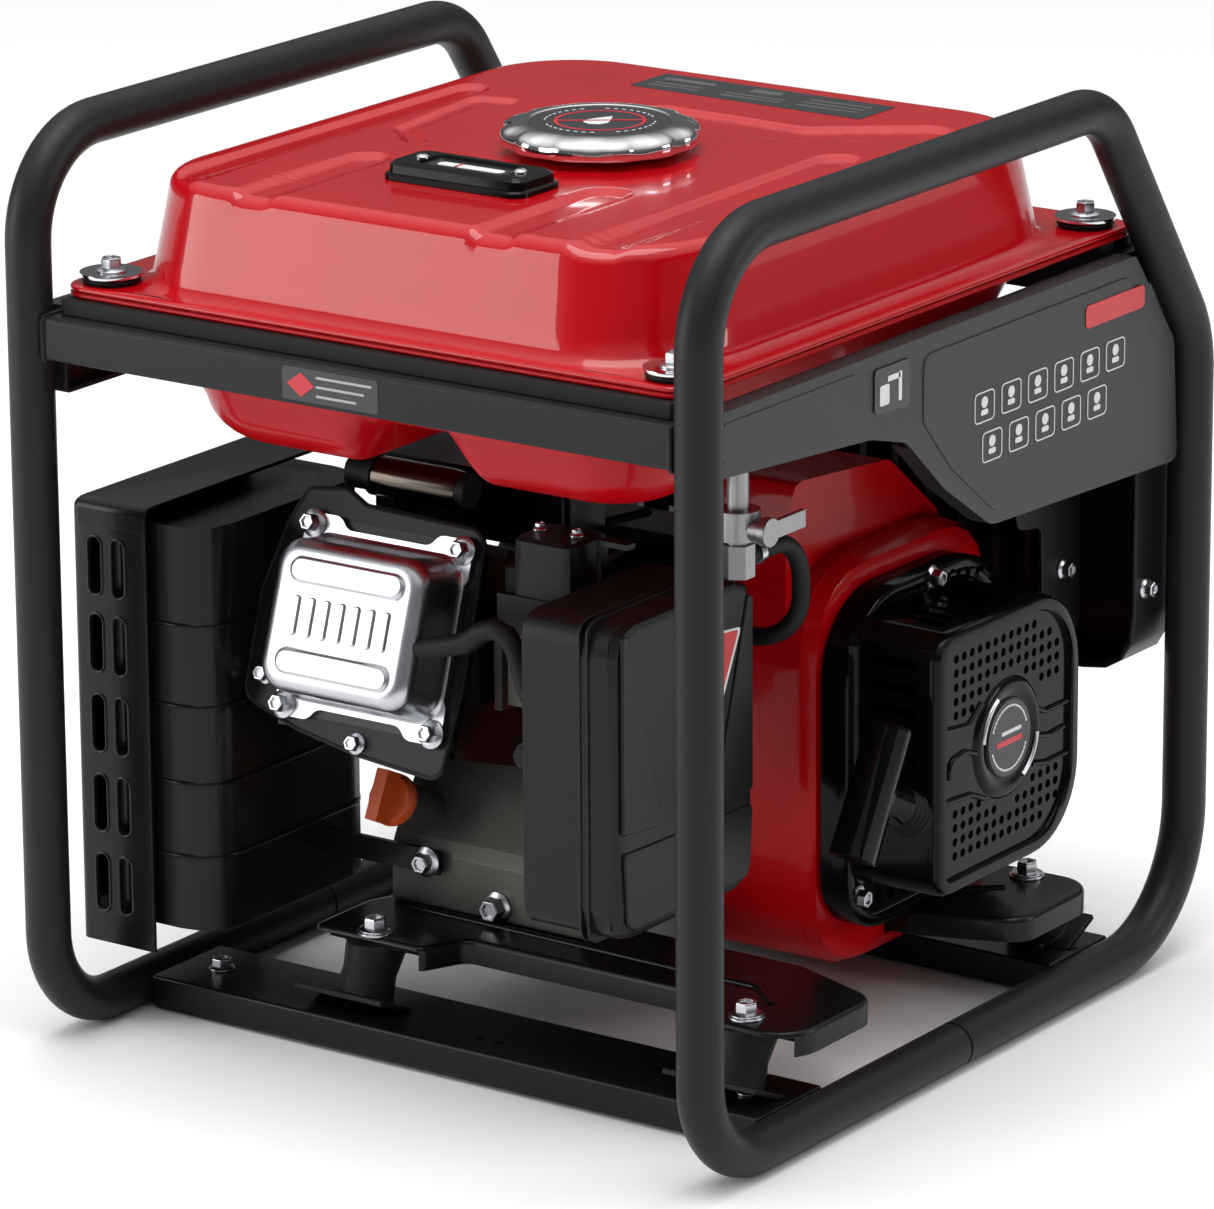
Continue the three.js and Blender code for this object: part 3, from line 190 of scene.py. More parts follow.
def rounded(corners, steps=6):
    """A closed outline through (a, b, radius) corners, with true arcs."""
    points = []
    count = len(corners)
    for i, (x, y, r) in enumerate(corners):
        here = Vector((x, y))
        back = (Vector(corners[i - 1][:2]) - here).normalized()
        on = (Vector(corners[(i + 1) % count][:2]) - here).normalized()
        if not r:
            points.append(here)
            continue
        half = back.angle(on) / 2
        centre = here + (back + on).normalized() * (r / math.sin(half))
        start = here + back * (r / math.tan(half)) - centre
        end = here + on * (r / math.tan(half)) - centre
        turn = start.angle_signed(end)
        for k in range(steps + 1):
            points.append(centre + Matrix.Rotation(-turn * k / steps, 2) @ start)
    return points


def box_outline(w, h, r, x=0.0, y=0.0, steps=6):
    a, b = w / 2, h / 2
    return rounded([(x - a, y - b, r), (x + a, y - b, r), (x + a, y + b, r), (x - a, y + b, r)], steps)


def full_turn(count):
    return [2 * math.pi * k / count for k in range(count)]


def loft(rings, close_first=True, close_last=True, into=None):
    """Skins equal-length closed rings of 3-D points."""
    bm = into or bmesh.new()
    rows = [[bm.verts.new(p) for p in ring] for ring in rings]
    for low, high in zip(rows, rows[1:]):
        for k in range(len(low)):
            n = (k + 1) % len(low)
            bm.faces.new((low[k], low[n], high[n], high[k]))
    if close_first:
        bm.faces.new(list(reversed(rows[0])))
    if close_last:
        bm.faces.new(rows[-1])
    return bm


def stack(levels, close_first=True, close_last=True, into=None):
    """Skins (outline, height) levels, whose outlines have the same number of points."""
    rings = [[(p[0], p[1], z) for p in outline] for outline, z in levels]
    return loft(rings, close_first, close_last, into)


def prism(outline, z0, z1):
    return stack([(outline, z0), (outline, z1)])


def shift(x, y, z):
    return Matrix.Translation((x, y, z))


def merge(target, source, matrix=None):
    """Adds one mesh to another, placed by a matrix."""
    if matrix is not None:
        source.transform(matrix)
    carrier = bpy.data.meshes.new("carrier")
    source.to_mesh(carrier)
    source.free()
    target.from_mesh(carrier)
    bpy.data.meshes.remove(carrier)


def facing(axis, at=(0, 0, 0)):
    """The matrix that stands local +Z along an axis at a point."""
    turn = Vector((0, 0, 1)).rotation_difference(Vector(axis))
    return Matrix.Translation(Vector(at)) @ turn.to_matrix().to_4x4()


# These take an outline's (a, b, height) to the frame's (height, a, b), (a, -height, b) and (-a, height, b).
TO_SIDE = Matrix(((0, 0, 1, 0), (1, 0, 0, 0), (0, 1, 0, 0), (0, 0, 0, 1)))
TO_FRONT = Matrix(((1, 0, 0, 0), (0, 0, -1, 0), (0, 1, 0, 0), (0, 0, 0, 1)))
TO_BACK = Matrix(((-1, 0, 0, 0), (0, 0, 1, 0), (0, 1, 0, 0), (0, 0, 0, 1)))


def turned(profile, segments=48, matrix=None, close_first=True, close_last=True):
    """A turned body from (radius, height) stops about local Z."""
    rings = []
    for r, z in profile:
        r = max(r, THINNEST)
        rings.append([(r * math.cos(a), r * math.sin(a), z) for a in full_turn(segments)])
    bm = loft(rings, close_first, close_last)
    if matrix is not None:
        bm.transform(matrix)
    return bm


def bend_points(stops, steps=10):
    """A route of straight runs with round bends at (x, y, z, radius) stops; the radius may be left out."""
    spots = [Vector(s[:3]) for s in stops]
    route = [spots[0]]
    for i in range(1, len(spots) - 1):
        here = spots[i]
        inward = (here - spots[i - 1]).normalized()
        outward = (spots[i + 1] - here).normalized()
        turn = inward.angle(outward)
        radius = stops[i][3] if len(stops[i]) > 3 else 0
        if not radius or turn < 0.01:
            route.append(here)
            continue
        reach = radius * math.tan(turn / 2)
        axis = inward.cross(outward).normalized()
        start = here - inward * reach
        centre = start + axis.cross(inward) * radius
        for k in range(steps + 1):
            route.append(centre + Matrix.Rotation(turn * k / steps, 3, axis) @ (start - centre))
    route.append(spots[-1])
    return route


def sweep(route, radius, sides=20, closed=False):
    """A round bar along a route; radius may be one number or one for each point."""
    count = len(route)
    radii = radius if isinstance(radius, (list, tuple)) else [radius] * count
    tangents = []
    for i in range(count):
        before = route[i - 1] if closed or i else route[i]
        after = route[(i + 1) % count] if closed or i < count - 1 else route[i]
        tangents.append((after - before).normalized())
    seed = Vector((0, 0, 1)) if abs(tangents[0].z) < 0.9 else Vector((1, 0, 0))
    side = tangents[0].cross(seed).normalized()
    rings = []
    for i, (here, ahead) in enumerate(zip(route, tangents)):
        if i:
            side = tangents[i - 1].rotation_difference(ahead) @ side
        other = ahead.cross(side)
        rings.append([here + (side * math.cos(a) + other * math.sin(a)) * radii[i]
                      for a in full_turn(sides)])
    if closed:
        rings.append(rings[0])
        return loft(rings, False, False)
    return loft(rings)


def softened(node, material, bevel=1.0, body=ROOT):
    """The node's own shape with its flat faces joined up and its edges rounded."""
    bm = bmesh.new()
    bm.from_mesh(frame["nodes"][node].data)
    bm.transform(Matrix.Scale(1 / MM, 4))
    bmesh.ops.remove_doubles(bm, verts=bm.verts, dist=0.02)
    bmesh.ops.dissolve_limit(bm, angle_limit=math.radians(1.5), verts=bm.verts, edges=bm.edges)
    piece(node + "_shape", bm, material, body, [node], bevel=bevel)


def carved(bm, cutter):
    """One mesh with another cut out of it."""
    pair = []
    for source in (bm, cutter):
        mesh = bpy.data.meshes.new("blank")
        bmesh.ops.recalc_face_normals(source, faces=source.faces)
        source.to_mesh(mesh)
        source.free()
        pair.append(bpy.data.objects.new("blank", mesh))
        scene.collection.objects.link(pair[-1])
    cut = pair[0].modifiers.new("cut", "BOOLEAN")
    cut.object = pair[1]
    cut.solver = "EXACT"
    cut.use_self = True
    bpy.context.view_layer.update()
    done = bmesh.new()
    done.from_object(pair[0], bpy.context.evaluated_depsgraph_get())
    for made in pair:
        mesh = made.data
        bpy.data.objects.remove(made)
        bpy.data.meshes.remove(mesh)
    return done


def perforated(outline, holes, z0, z1):
    """A plate with round holes, each given as (a, b, radius)."""
    bm = bmesh.new()
    loops = [[(p[0], p[1]) for p in outline]]
    for a, b, r in holes:
        loops.append([(a + r * math.cos(t), b - r * math.sin(t)) for t in full_turn(16)])
    edges = []
    for points in loops:
        verts = [bm.verts.new((a, b, z1)) for a, b in points]
        edges += [bm.edges.new((verts[k - 1], verts[k])) for k in range(len(verts))]
    bmesh.ops.triangle_fill(bm, edges=edges, use_beauty=True, use_dissolve=False)
    wall = bmesh.ops.extrude_edge_only(bm, edges=edges)
    moved = [g for g in wall["geom"] if isinstance(g, bmesh.types.BMVert)]
    for vert in moved:
        vert.co.z = z0
    return bm


def ring_of_ticks(target, w, h, radius, angles, z0, z1):
    """Adds w by h marks round a circle about local Z, their length w along the circle."""
    for angle in angles:
        tick = prism(box_outline(h, w, 0.3, steps=2), z0, z1)
        merge(target, tick, Matrix.Rotation(angle, 4, "Z") @ shift(radius, 0, 0))


def hex_bolt(name, at, axis, across, head, flange=0.0, washer=0.0):
    """A hexagon bolt's head with its flange and washer, standing on a point."""
    bm = bmesh.new()
    lift = 0.0
    if washer:
        lift = 1.6
        merge(bm, turned([(washer * 0.4, 0), (washer, 0), (washer, 1.2), (washer - 0.4, lift), (0, lift)]))
    if flange:
        crest = lift + 2.2
        merge(bm, turned([(flange, lift), (flange, lift + 0.9), (flange * 0.72, crest), (0, crest)]))
        lift += 1.6
    corner = across / math.sqrt(3)
    ring = [(corner * math.cos(t), corner * math.sin(t)) for t in full_turn(6)]
    crown = [(x * 0.88, y * 0.88) for x, y in ring]
    cup = [(x * 0.6, y * 0.6) for x, y in ring]
    stack([(ring, lift), (ring, lift + head * 0.82), (crown, lift + head), (cup, lift + head),
           (cup, lift + head * 0.8)], into=bm)
    bm.transform(facing(axis, at))
    piece(name, bm, ZINC, bevel=0.25)


# ---- frame ----
TUBE_R = (span("left_frame_loop")[1].x - span("left_frame_loop")[0].x) / 2
SEAM = 2.0  # gap where the two ends of the bent tube meet
SEAM_DEPTH = 0.8


def frame_loop(side):
    """A tube bent into one loop, with a seam in the middle of its foot."""
    node = side + "_frame_loop"
    low, high = span(node)
    x = middle(node).x
    front, rear = low.y + TUBE_R, high.y - TUBE_R
    floor_z, top = low.z + TUBE_R, high.z - TUBE_R
    slant_y = rear - 102.5  # where the top bar ends
    slant_z = top - 147  # where the rear upright begins
    joint = (x, 0, floor_z)
    route = bend_points([
        (x, -SEAM / 2, floor_z), (x, front, floor_z, 52), (x, front, top, 57), (x, slant_y, top, 48),
        (x, rear, slant_z, 70), (x, rear, floor_z, 74), (x, SEAM / 2, floor_z)], steps=16)
    bm = sweep(route, TUBE_R, sides=40)
    neck = [(TUBE_R - SEAM_DEPTH, -SEAM), (TUBE_R - SEAM_DEPTH, SEAM)]
    merge(bm, turned(neck, 40, facing((0, 1, 0), joint)))
    piece(node + "_tube", bm, FRAME_PAINT, replaces=[node])


frame_loop("left")
frame_loop("right")
softened("front_upper_rail", FRAME_PAINT, 0.8)
softened("rear_upper_rail", FRAME_PAINT, 2.0)


def weld_bead(name, at, w, h):
    """A thin bead round the end of a welded rail."""
    route = [Vector((at[0], at[1] + y, at[2] + z)) for y, z in box_outline(w, h, 3, steps=5)]
    wobble = [1.5 + 0.35 * math.sin(2.3 * k) for k in range(len(route))]
    bm = sweep(route, wobble, sides=8, closed=True)
    piece(name, bm, FRAME_PAINT)


def rails():
    low, high = span("front_upper_rail")
    for side, x in (("left", low.x + 0.6), ("right", high.x - 0.6)):
        weld_bead(f"rail_weld_{side}", (x, (low.y + high.y) / 2, (low.z + high.z) / 2), 22, 24)
    for end in ("front", "rear"):
        softened(end + "_base_rail", BLACK_PAINT, 1.8)
        low, high = span(end + "_base_rail")
        mid_y = (low.y + high.y) / 2
        for side, x in (("left", low.x + 26), ("right", high.x - 26)):
            hex_bolt(f"foot_bolt_{end}_{side}", (x, mid_y, high.z), (0, 0, 1), 10, 5, flange=7.5)
        # Painted shade: two thin gloss-black discs on the rail's top stand in for the dark inside two small
        # holes; no hole is cut.
        holes = bmesh.new()
        for x in (10, 22):
            merge(holes, turned([(2.6, 0), (2.6, 0.25), (0, 0.25)], 16, shift(x, low.y + 18, high.z)))
        piece(f"rail_hole_painted_shade_{end}", holes, GLOSS_BLACK)


rails()


def feet():
    for end in ("front", "rear"):
        for side in ("left", "right"):
            node = f"foot_{end}_{side}"
            low, high = span(node)
            at = shift(middle(node).x, middle(node).y, 0)
            r = (high.x - low.x) / 2
            profile = [(0, 0), (r - 3, 0), (r, 2.5), (r - 1, 5), (r - 4, high.z - 0.2), (0, high.z - 0.2)]
            piece(node + "_rubber", turned(profile, 40, at), RUBBER, replaces=[node])


feet()


# ---- side covers ----
softened("left_side_cover", COVER_PLASTIC, 1.6)
softened("right_side_cover", COVER_PLASTIC, 1.6)


def raised_plate(name, outline, x, thick, material, bevel=0.3):
    """A thin plate on the starter side, drawn by its (y, z) outline."""
    bm = prism(outline, 0, thick)
    bm.transform(shift(x, 0, 0) @ TO_SIDE)
    piece(name, bm, material, bevel=bevel)


PRINT = 0.25  # thickness of a printed mark


def blank_icon(y, z):
    """A printed border round a bar and a dot."""
    outer = box_outline(20, 17, 3, y, z, 3)
    inner = box_outline(18.6, 15.6, 2.4, y, z, 3)
    icon = stack([(outer, 0), (outer, PRINT), (inner, PRINT), (inner, 0)], False, False)
    merge(icon, prism(box_outline(7, 3, 1, y, z - 3, 2), 0, PRINT))
    merge(icon, turned([(3.2, 0), (3.2, PRINT), (0, PRINT)], 16, shift(y, z + 2.5, 0)))
    return icon


def cover_details():
    """Generic plates on the starter-side cover: blank icons with no lettering."""
    low, high = span("right_side_cover")
    face = high.x
    step = rounded([(low.y + 6, 392, 4), (-98, 381, 6), (-98, 412, 6), (low.y + 6, 412, 4)])
    raised_plate("cover_step_front", step, face - 0.4, 0.9, COVER_PLASTIC)
    panel = rounded([(-36, 371, 8), (-8, 340, 10), (36, 306, 16), (206, 299, 8), (206, 360, 10),
                     (172, 408, 8), (-36, 408, 8)])
    raised_plate("cover_panel", panel, face - 0.5, 1.2, COVER_PLASTIC, 0.6)
    plate = rounded([(-84, 386, 3), (-50, 384, 3), (-50, 410, 3), (-84, 410, 3)])
    raised_plate("valve_plate", plate, face + 0.2, 0.8, GREY_PRINT)
    raised_plate("heading_plate", box_outline(62, 13, 3, 158, 394), face + 0.7, 0.5, RED_PRINT)
    for row, (z, count) in enumerate(((367, 6), (344, 5))):
        for k in range(count):
            icon = blank_icon(24 + 27 * k + 8 * row, z)
            icon.transform(shift(face + 0.75, 0, 0) @ TO_SIDE)
            piece(f"icon_{row}_{k}", icon, WHITE_PRINT)
    arrow = bmesh.new()
    for w, h, r, y, z in ((3, 16, 1, -60, 397), (12, 3, 1, -66, 403), (9, 11, 1.5, -75, 395)):
        merge(arrow, prism(box_outline(w, h, r, y, z), 0, PRINT))
    arrow.transform(shift(face + 1.05, 0, 0) @ TO_SIDE)
    piece("valve_icon", arrow, WHITE_PRINT)


cover_details()


# ---- bearers and mounts ----
BEARER_PLAN = [(-112, -142, 6), (-38, -142, 6), (-26, -116, 10), (124, -116, 10), (140, -148, 8),
               (211, -149.7, 22), (211, -70, 18), (150, -48, 14), (-92, -48, 14), (-112, -92, 14)]


def bearer_sheet(end):
    """Pressed plate with a rounded edge turned down all round, open where its two mounts stand."""
    low, high = span(end + "_engine_bearer")
    outline = rounded(BEARER_PLAN, 8)
    fold = 3.0
    bm = stack([(outline, low.z), (outline, high.z)], close_first=False)
    bmesh.ops.recalc_face_normals(bm, faces=bm.faces)
    rim = [e for e in bm.edges if all(v.co.z > high.z - 0.1 for v in e.verts)]
    bmesh.ops.bevel(bm, geom=rim, offset=fold, segments=4, profile=0.5, affect="EDGES")
    bmesh.ops.solidify(bm, geom=bm.faces[:], thickness=2.2)
    gaps = bmesh.new()
    for x0, x1 in ((-114, -40), (134, 206)):
        gap = prism([(x0, -170), (x1, -170), (x1, -104), (x0, -104)], low.z - 5, high.z - 3.3)
        merge(gaps, gap)
    bm = carved(bm, gaps)
    ridge_z = high.z - 0.6  # the middle of a bead that stands out of the sheet
    ridge = bend_points([(-88, -88, ridge_z), (112, -92, ridge_z, 20), (150, -92, ridge_z, 16),
                         (172, -112, ridge_z)])
    merge(bm, sweep(ridge, 2.4, 12))
    if end == "rear":  # the rear sheet is the front one's mirror image
        mirror_y = span("front_engine_bearer")[0].y + high.y
        bm.transform(shift(0, mirror_y, 0) @ Matrix.Scale(-1, 4, (0, 1, 0)))
    return bm


for end in ("front", "rear"):
    piece(end + "_bearer_sheet", bearer_sheet(end), BLACK_PAINT,
          replaces=[end + "_engine_bearer"], sharp=34)
    sign = 1 if end == "front" else -1
    for side in ("left", "right"):
        node = f"mount_{end}_{side}"
        softened(node, RUBBER, 1.0)
        spot = middle(node)
        top = span(end + "_engine_bearer")[1].z
        hex_bolt(f"mount_bolt_{end}_{side}", (spot.x + 2, spot.y + 6 * sign, top), (0, 0, 1), 11, 6, 9, 10)


# ---- fuel tank ----
def tank_ring(a, b, r, x, y, z, arc_steps=14, side_steps=64):
    """A rounded rectangle whose points match those of every other ring."""
    corners = [(x + a - r, y + b - r, 0), (x - a + r, y + b - r, 90),
               (x - a + r, y - b + r, 180), (x + a - r, y - b + r, 270)]
    arcs = []
    for cx, cy, first in corners:
        angles = [math.radians(first + 90 * k / arc_steps) for k in range(arc_steps + 1)]
        arcs.append([Vector((cx + r * math.cos(t), cy + r * math.sin(t), z)) for t in angles])
    ring = []
    for i, arc in enumerate(arcs):
        ring += arc
        following = arcs[(i + 1) % 4][0]
        ring += [arc[-1].lerp(following, k / side_steps) for k in range(1, side_steps)]
    return ring


def shrinking(count):
    """Shares that fall evenly towards nothing, for the rings that fill a flat face."""
    return [1 - k / count for k in range(1, count)]


def smooth(t):
    t = min(max(t, 0), 1)
    return t * t * (3 - 2 * t)


def distance_to_route(x, y, route):
    best = 1e9
    for (ax, ay), (bx, by) in zip(route, route[1:]):
        dx, dy = bx - ax, by - ay
        t = ((x - ax) * dx + (y - ay) * dy) / (dx * dx + dy * dy)
        t = min(max(t, 0), 1)
        best = min(best, math.hypot(x - ax - t * dx, y - ay - t * dy))
    return best


# Pressed channels in the tank's top: (half width, depth, route)
CHANNELS = [
    (11, 2.6, [(-88, -250), (-90, -112)]),
    (12, 2.6, [(68, -250), (66, -112)]),
    (12, 2.6, [(132, -250), (124, 22)]),
    (9, 2.2, [(-146, -250), (-146, 60)]),
    (15, 2.4, [(-22, 67), (72, 64), (128, 104)]),
    (5, 2.0, [(-94, -62), (-115, -42), (-125, 40), (-108, 44)]),
]


def pressed(x, y):
    """How far the tank's top is pressed in at a point."""
    depth = 0
    for half, deep, route in CHANNELS:
        depth = max(depth, deep * smooth((half - distance_to_route(x, y, route)) / 5 + 0.5))
    return depth


TANK_TOP = 490.0


def flange_rings(low, high, heights):
    """The flange along a tank half's seam, with a softened edge."""
    half_x, half_y = (high.x - low.x) / 2, (high.y - low.y) / 2
    mid_y = (low.y + high.y) / 2
    return [tank_ring(half_x - inset, half_y - inset, 15 - inset, 0, mid_y, z)
            for inset, z in zip((1, 0, 0, 1), heights)]


def tank_upper():
    """The top half: upright walls, a rounded edge and a flat top with pressed channels."""
    low, high = span("tank_upper_shell")
    mid_y = (low.y + high.y) / 2
    cx, cy = 0.0, mid_y - 7.5
    flange = low.z + 3
    edge = 9.0
    wall_top = TANK_TOP - edge
    rings = flange_rings(low, high, (low.z, low.z + 0.8, flange - 0.8, flange))
    rings += [
        tank_ring((high.x - low.x) / 2 - 7, (high.y - low.y) / 2 - 7, 18, 0, mid_y, flange),
        tank_ring(189, 209, 66, cx, cy, flange),
        tank_ring(185, 205, 66, cx, cy, flange + 1.2),
    ]
    for k in range(4):
        z = flange + 6 + 11 * k
        rings.append(tank_ring(182 - 2.1 * k, 202 - 2.1 * k, 66 - 1.5 * k, cx, cy, z))
    for k in range(7):
        lean = math.radians(15 * k)
        inset = edge * (1 - math.cos(lean))
        z = wall_top + edge * math.sin(lean)
        rings.append(tank_ring(173.6 - inset, 193.6 - inset, 60 - inset, cx, cy, z))
    rings += [tank_ring(164.6 * s, 184.6 * s, 51 * s, cx, cy, TANK_TOP) for s in shrinking(100)]
    for ring in rings:
        for p in ring:
            near_top = smooth((p.z - (TANK_TOP - 14)) / 12)
            if near_top:
                p.z -= pressed(p.x, p.y) * near_top
    bm = loft(rings, close_first=False)
    cap = middle("fuel_cap")
    collar = [(52, TANK_TOP - 1.5), (48, TANK_TOP + 0.6), (42, TANK_TOP + 1.8), (26, TANK_TOP + 1.8)]
    merge(bm, turned(collar, 72, shift(cap.x, cap.y, 0), False, False))
    piece("tank_top_pressing", bm, RED_PAINT, replaces=["tank_upper_shell"], sharp=60)


tank_upper()


def tank_lower():
    """The belly, with a trough along its middle."""
    low, high = span("tank_lower_shell")
    cx, cy = 2.0, -31.0
    rim_z, bottom = high.z, low.z
    edge = 30.0
    trough, trough_half = 24.0, 46.0
    rings = flange_rings(low, high, (rim_z, rim_z - 0.8, rim_z - 2.4, rim_z - 3))
    rings += [
        tank_ring(178, 202, 62, cx, cy, rim_z - 3.2),
        tank_ring(175, 198, 60, cx, cy, rim_z - 8),
        tank_ring(161, 184, 48, cx, cy, rim_z - 36),
    ]
    for k in range(1, 10):
        lean = math.radians(10 * k)
        inset = edge * (1 - math.cos(lean))
        z = bottom + edge * (1 - math.sin(lean))
        rings.append(tank_ring(152 - inset, 175 - inset, 42 - 0.6 * inset, cx, cy, z))
    rings += [tank_ring(122 * s, 145 * s, 24 * s, cx, cy, bottom) for s in shrinking(40)]
    for ring in rings:
        for p in ring:
            near_bottom = smooth((bottom + 45 - p.z) / 40)
            p.z += trough * smooth((trough_half - abs(p.x - cx)) / 26) * near_bottom
    bm = loft(rings, close_first=False)
    piece("tank_belly_pressing", bm, LOWER_RED, replaces=["tank_lower_shell"], sharp=60)


tank_lower()


def tank_label():
    """A plain grey plate with blank blocks where a label would be."""
    outline = rounded([(-76, 116, 2), (80, 113, 2), (80, 150, 2), (-76, 153, 2)])
    piece("tank_label", prism(outline, TANK_TOP - 0.3, TANK_TOP + 0.25), GREY_PRINT)
    blocks = bmesh.new()
    for x, y, w, h in ((-52, 142, 34, 5), (-52, 131, 34, 2), (-52, 125, 34, 2),
                       (0, 142, 20, 7), (0, 130, 40, 2), (0, 124, 40, 2),
                       (50, 140, 40, 2), (50, 133, 40, 2), (50, 126, 40, 2)):
        merge(blocks, prism(box_outline(w, h, 0.4, x, y, 2), TANK_TOP + 0.25, TANK_TOP + 0.35))
    piece("tank_label_blocks", blocks, DULL_STEEL)


def rail_label():
    """A plain plate on the front rail, with a blank mark and three lines."""
    low, high = span("front_upper_rail")
    plate = prism(box_outline(62, 18, 1.5, -11, 0), 0, 0.3)
    diamond = prism([(-39, 0), (-30, -6.5), (-21, 0), (-30, 6.5)], 0.3, 0.45)
    lines = bmesh.new()
    for k in range(3):
        merge(lines, prism(box_outline(36 - 5 * k, 1.3, 0.3, -2 - 2.5 * k, 5 - 5 * k, 2), 0.3, 0.4))
    for name, bm, material in (("rail_label", plate, GREY_PRINT), ("rail_label_mark", diamond, RED_PRINT),
                               ("rail_label_lines", lines, DULL_STEEL)):
        bm.transform(shift(0, low.y + 0.1, high.z - 12) @ TO_FRONT)
        piece(name, bm, material)


tank_label()
rail_label()


def tank_cushions():
    """Rubber strips on which the tank's flange rests."""
    for end, inset in (("front", 9), ("rear", -24)):
        low, high = span(end + "_upper_rail")
        y = low.y + inset if end == "front" else high.y + inset
        base, top = high.z + 0.1, span("tank_lower_shell")[1].z - 3
        strip = prism(box_outline(396, 9, 2, 0, y + 4.5), base, top)
        piece(f"tank_cushion_{end}", strip, RUBBER, bevel=0.6)


tank_cushions()
softened("filler_neck", DULL_STEEL, 0.5)


def tank_bolts():
    """Corner fixings: a rubber bush, a washer and a bolt."""
    top = span("tank_upper_shell")[0].z + 3
    for k, (x, y) in enumerate(((-183, -216), (183, -216), (-183, 183), (183, 183))):
        at = shift(x, y, top)
        bush = turned([(8.5, -16), (15, -16), (15.5, -14), (15.5, -8), (9, -7), (9, 0), (15, 0.4), (16, 2),
                       (15, 4.2), (0, 4.2)], 40, at)
        piece(f"tank_bush_{k}", bush, RUBBER)
        washer = turned([(0, 4.3), (17, 4.3), (17.2, 5), (17, 6), (0, 6)], 48, at)
        piece(f"tank_washer_{k}", washer, CHROME)
        hex_bolt(f"tank_bolt_{k}", (x, y, top + 6), (0, 0, 1), 10, 6, flange=8.5)


tank_bolts()


# ---- fuel cap and gauge ----
CAP_LOBES = 12


def cap_shell(low_z, high_z, spot, r):
    """The lobed grip, from its skirt to the rim round its face."""
    levels = [(r - 20, low_z + 0.6, 0), (r - 2.5, low_z + 0.2, 1.2), (r - 0.6, low_z + 1.6, 1.4),
              (r, low_z + 4, 1.8), (r, low_z + 7, 2.2), (r - 1.2, low_z + 9.6, 2.6),
              (r - 4.5, low_z + 11.4, 2.2), (r - 9, low_z + 12.4, 0.6), (r - 14, high_z - 0.2, 0),
              (r - 15.5, high_z - 0.2, 0), (r - 16.2, high_z - 1, 0), (2, high_z - 1, 0)]
    turns = full_turn(CAP_LOBES * 16)
    rings = []
    for radius, z, dip in levels:
        waists = [radius - dip * smooth((math.cos(CAP_LOBES * t) + 0.9) / 1.9) for t in turns]
        rings.append([(spot.x + reach * math.cos(t), spot.y + reach * math.sin(t), z)
                      for reach, t in zip(waists, turns)])
    return loft(rings, close_first=False)


def fuel_cap():
    low, high = span("fuel_cap")
    spot = joint_place("cap_turn")
    r = (high.x - low.x) / 2
    piece("cap_shell", cap_shell(low.z, high.z, spot, r), CHROME, "cap", ["fuel_cap"], sharp=70)
    at = shift(spot.x, spot.y, high.z)
    disc = turned([(0, -0.95), (r - 16.4, -0.95), (r - 16.4, -0.5), (0, -0.5)], 72, at)
    piece("cap_disc", disc, GREY_PRINT, "cap")
    ring = turned([(25, -0.5), (25, -0.35), (23.2, -0.35), (23.2, -0.5)], 72, at, False, False)
    piece("cap_ring", ring, RED_PRINT, "cap")
    marks = bmesh.new()
    angles = [math.radians(9 * k) for k in range(40) if k % 10 not in (4, 5)]
    ring_of_ticks(marks, 2.6, 0.9, 30, angles, -0.5, -0.35)
    drop = [(0, 12), (5, 3), (7, -3), (5.5, -8), (0, -10.5), (-5.5, -8), (-7, -3), (-5, 3)]
    merge(marks, prism(drop, -0.5, -0.35))
    marks.transform(at)
    piece("cap_marks", marks, WHITE_PRINT, "cap")
    bar = prism(box_outline(46, 2.4, 0.4), -0.34, -0.28)
    bar.transform(at @ Matrix.Rotation(math.radians(35), 4, "Z"))
    piece("cap_bar", bar, RED_PRINT, "cap")
    softened("cap_gasket", RUBBER, 0.3, "cap_seal")


fuel_cap()


def fuel_gauge():
    low, high = span("fuel_gauge")
    spot = middle("fuel_gauge")
    w, d = high.x - low.x, high.y - low.y
    base = low.z
    levels = [(w, d, 9, 0), (w, d, 9, 2.2), (w - 2, d - 2, 8, 3.2), (w - 3, d - 5, 8, 3.4),
              (w - 4, d - 7, 7, 7.6), (w - 8, d - 11, 6, 9.2), (w - 34, d - 19, 4, 9.2),
              (w - 36, d - 21, 3.5, 7.2)]
    bezel = stack([(box_outline(a, b, r, spot.x, spot.y, 8), base + z) for a, b, r, z in levels])
    piece("gauge_bezel", bezel, GLOSS_BLACK, replaces=["fuel_gauge"], sharp=32)
    glass = prism(box_outline(w - 37, d - 22, 3, spot.x, spot.y), base + 7.2, base + 7.6)
    piece("gauge_window", glass, WINDOW)
    dial = prism(box_outline(w - 50, 7, 3, spot.x, spot.y), base + 7.6, base + 7.75)
    piece("gauge_scale", dial, WHITE_PRINT)
    needle = prism(box_outline(1.6, 8, 0.5, spot.x - 8, spot.y), base + 7.75, base + 7.95)
    piece("gauge_needle", needle, RED_PRINT)
    for side, x in (("left", low.x + 14), ("right", high.x - 14)):
        head = turned([(0, 0), (3.6, 0), (3.6, 1), (2.4, 2), (0.8, 2.1), (0.8, 1.2), (0, 1.2)], 28,
                      shift(x, spot.y, base + 9))
        piece(f"gauge_screw_{side}", head, ZINC)


fuel_gauge()


# ---- fuel valve, lever and hose ----
softened("fuel_valve_body", DULL_STEEL, 0.5)
softened("fuel_valve_lever", DULL_STEEL, 0.6, "valve_lever")


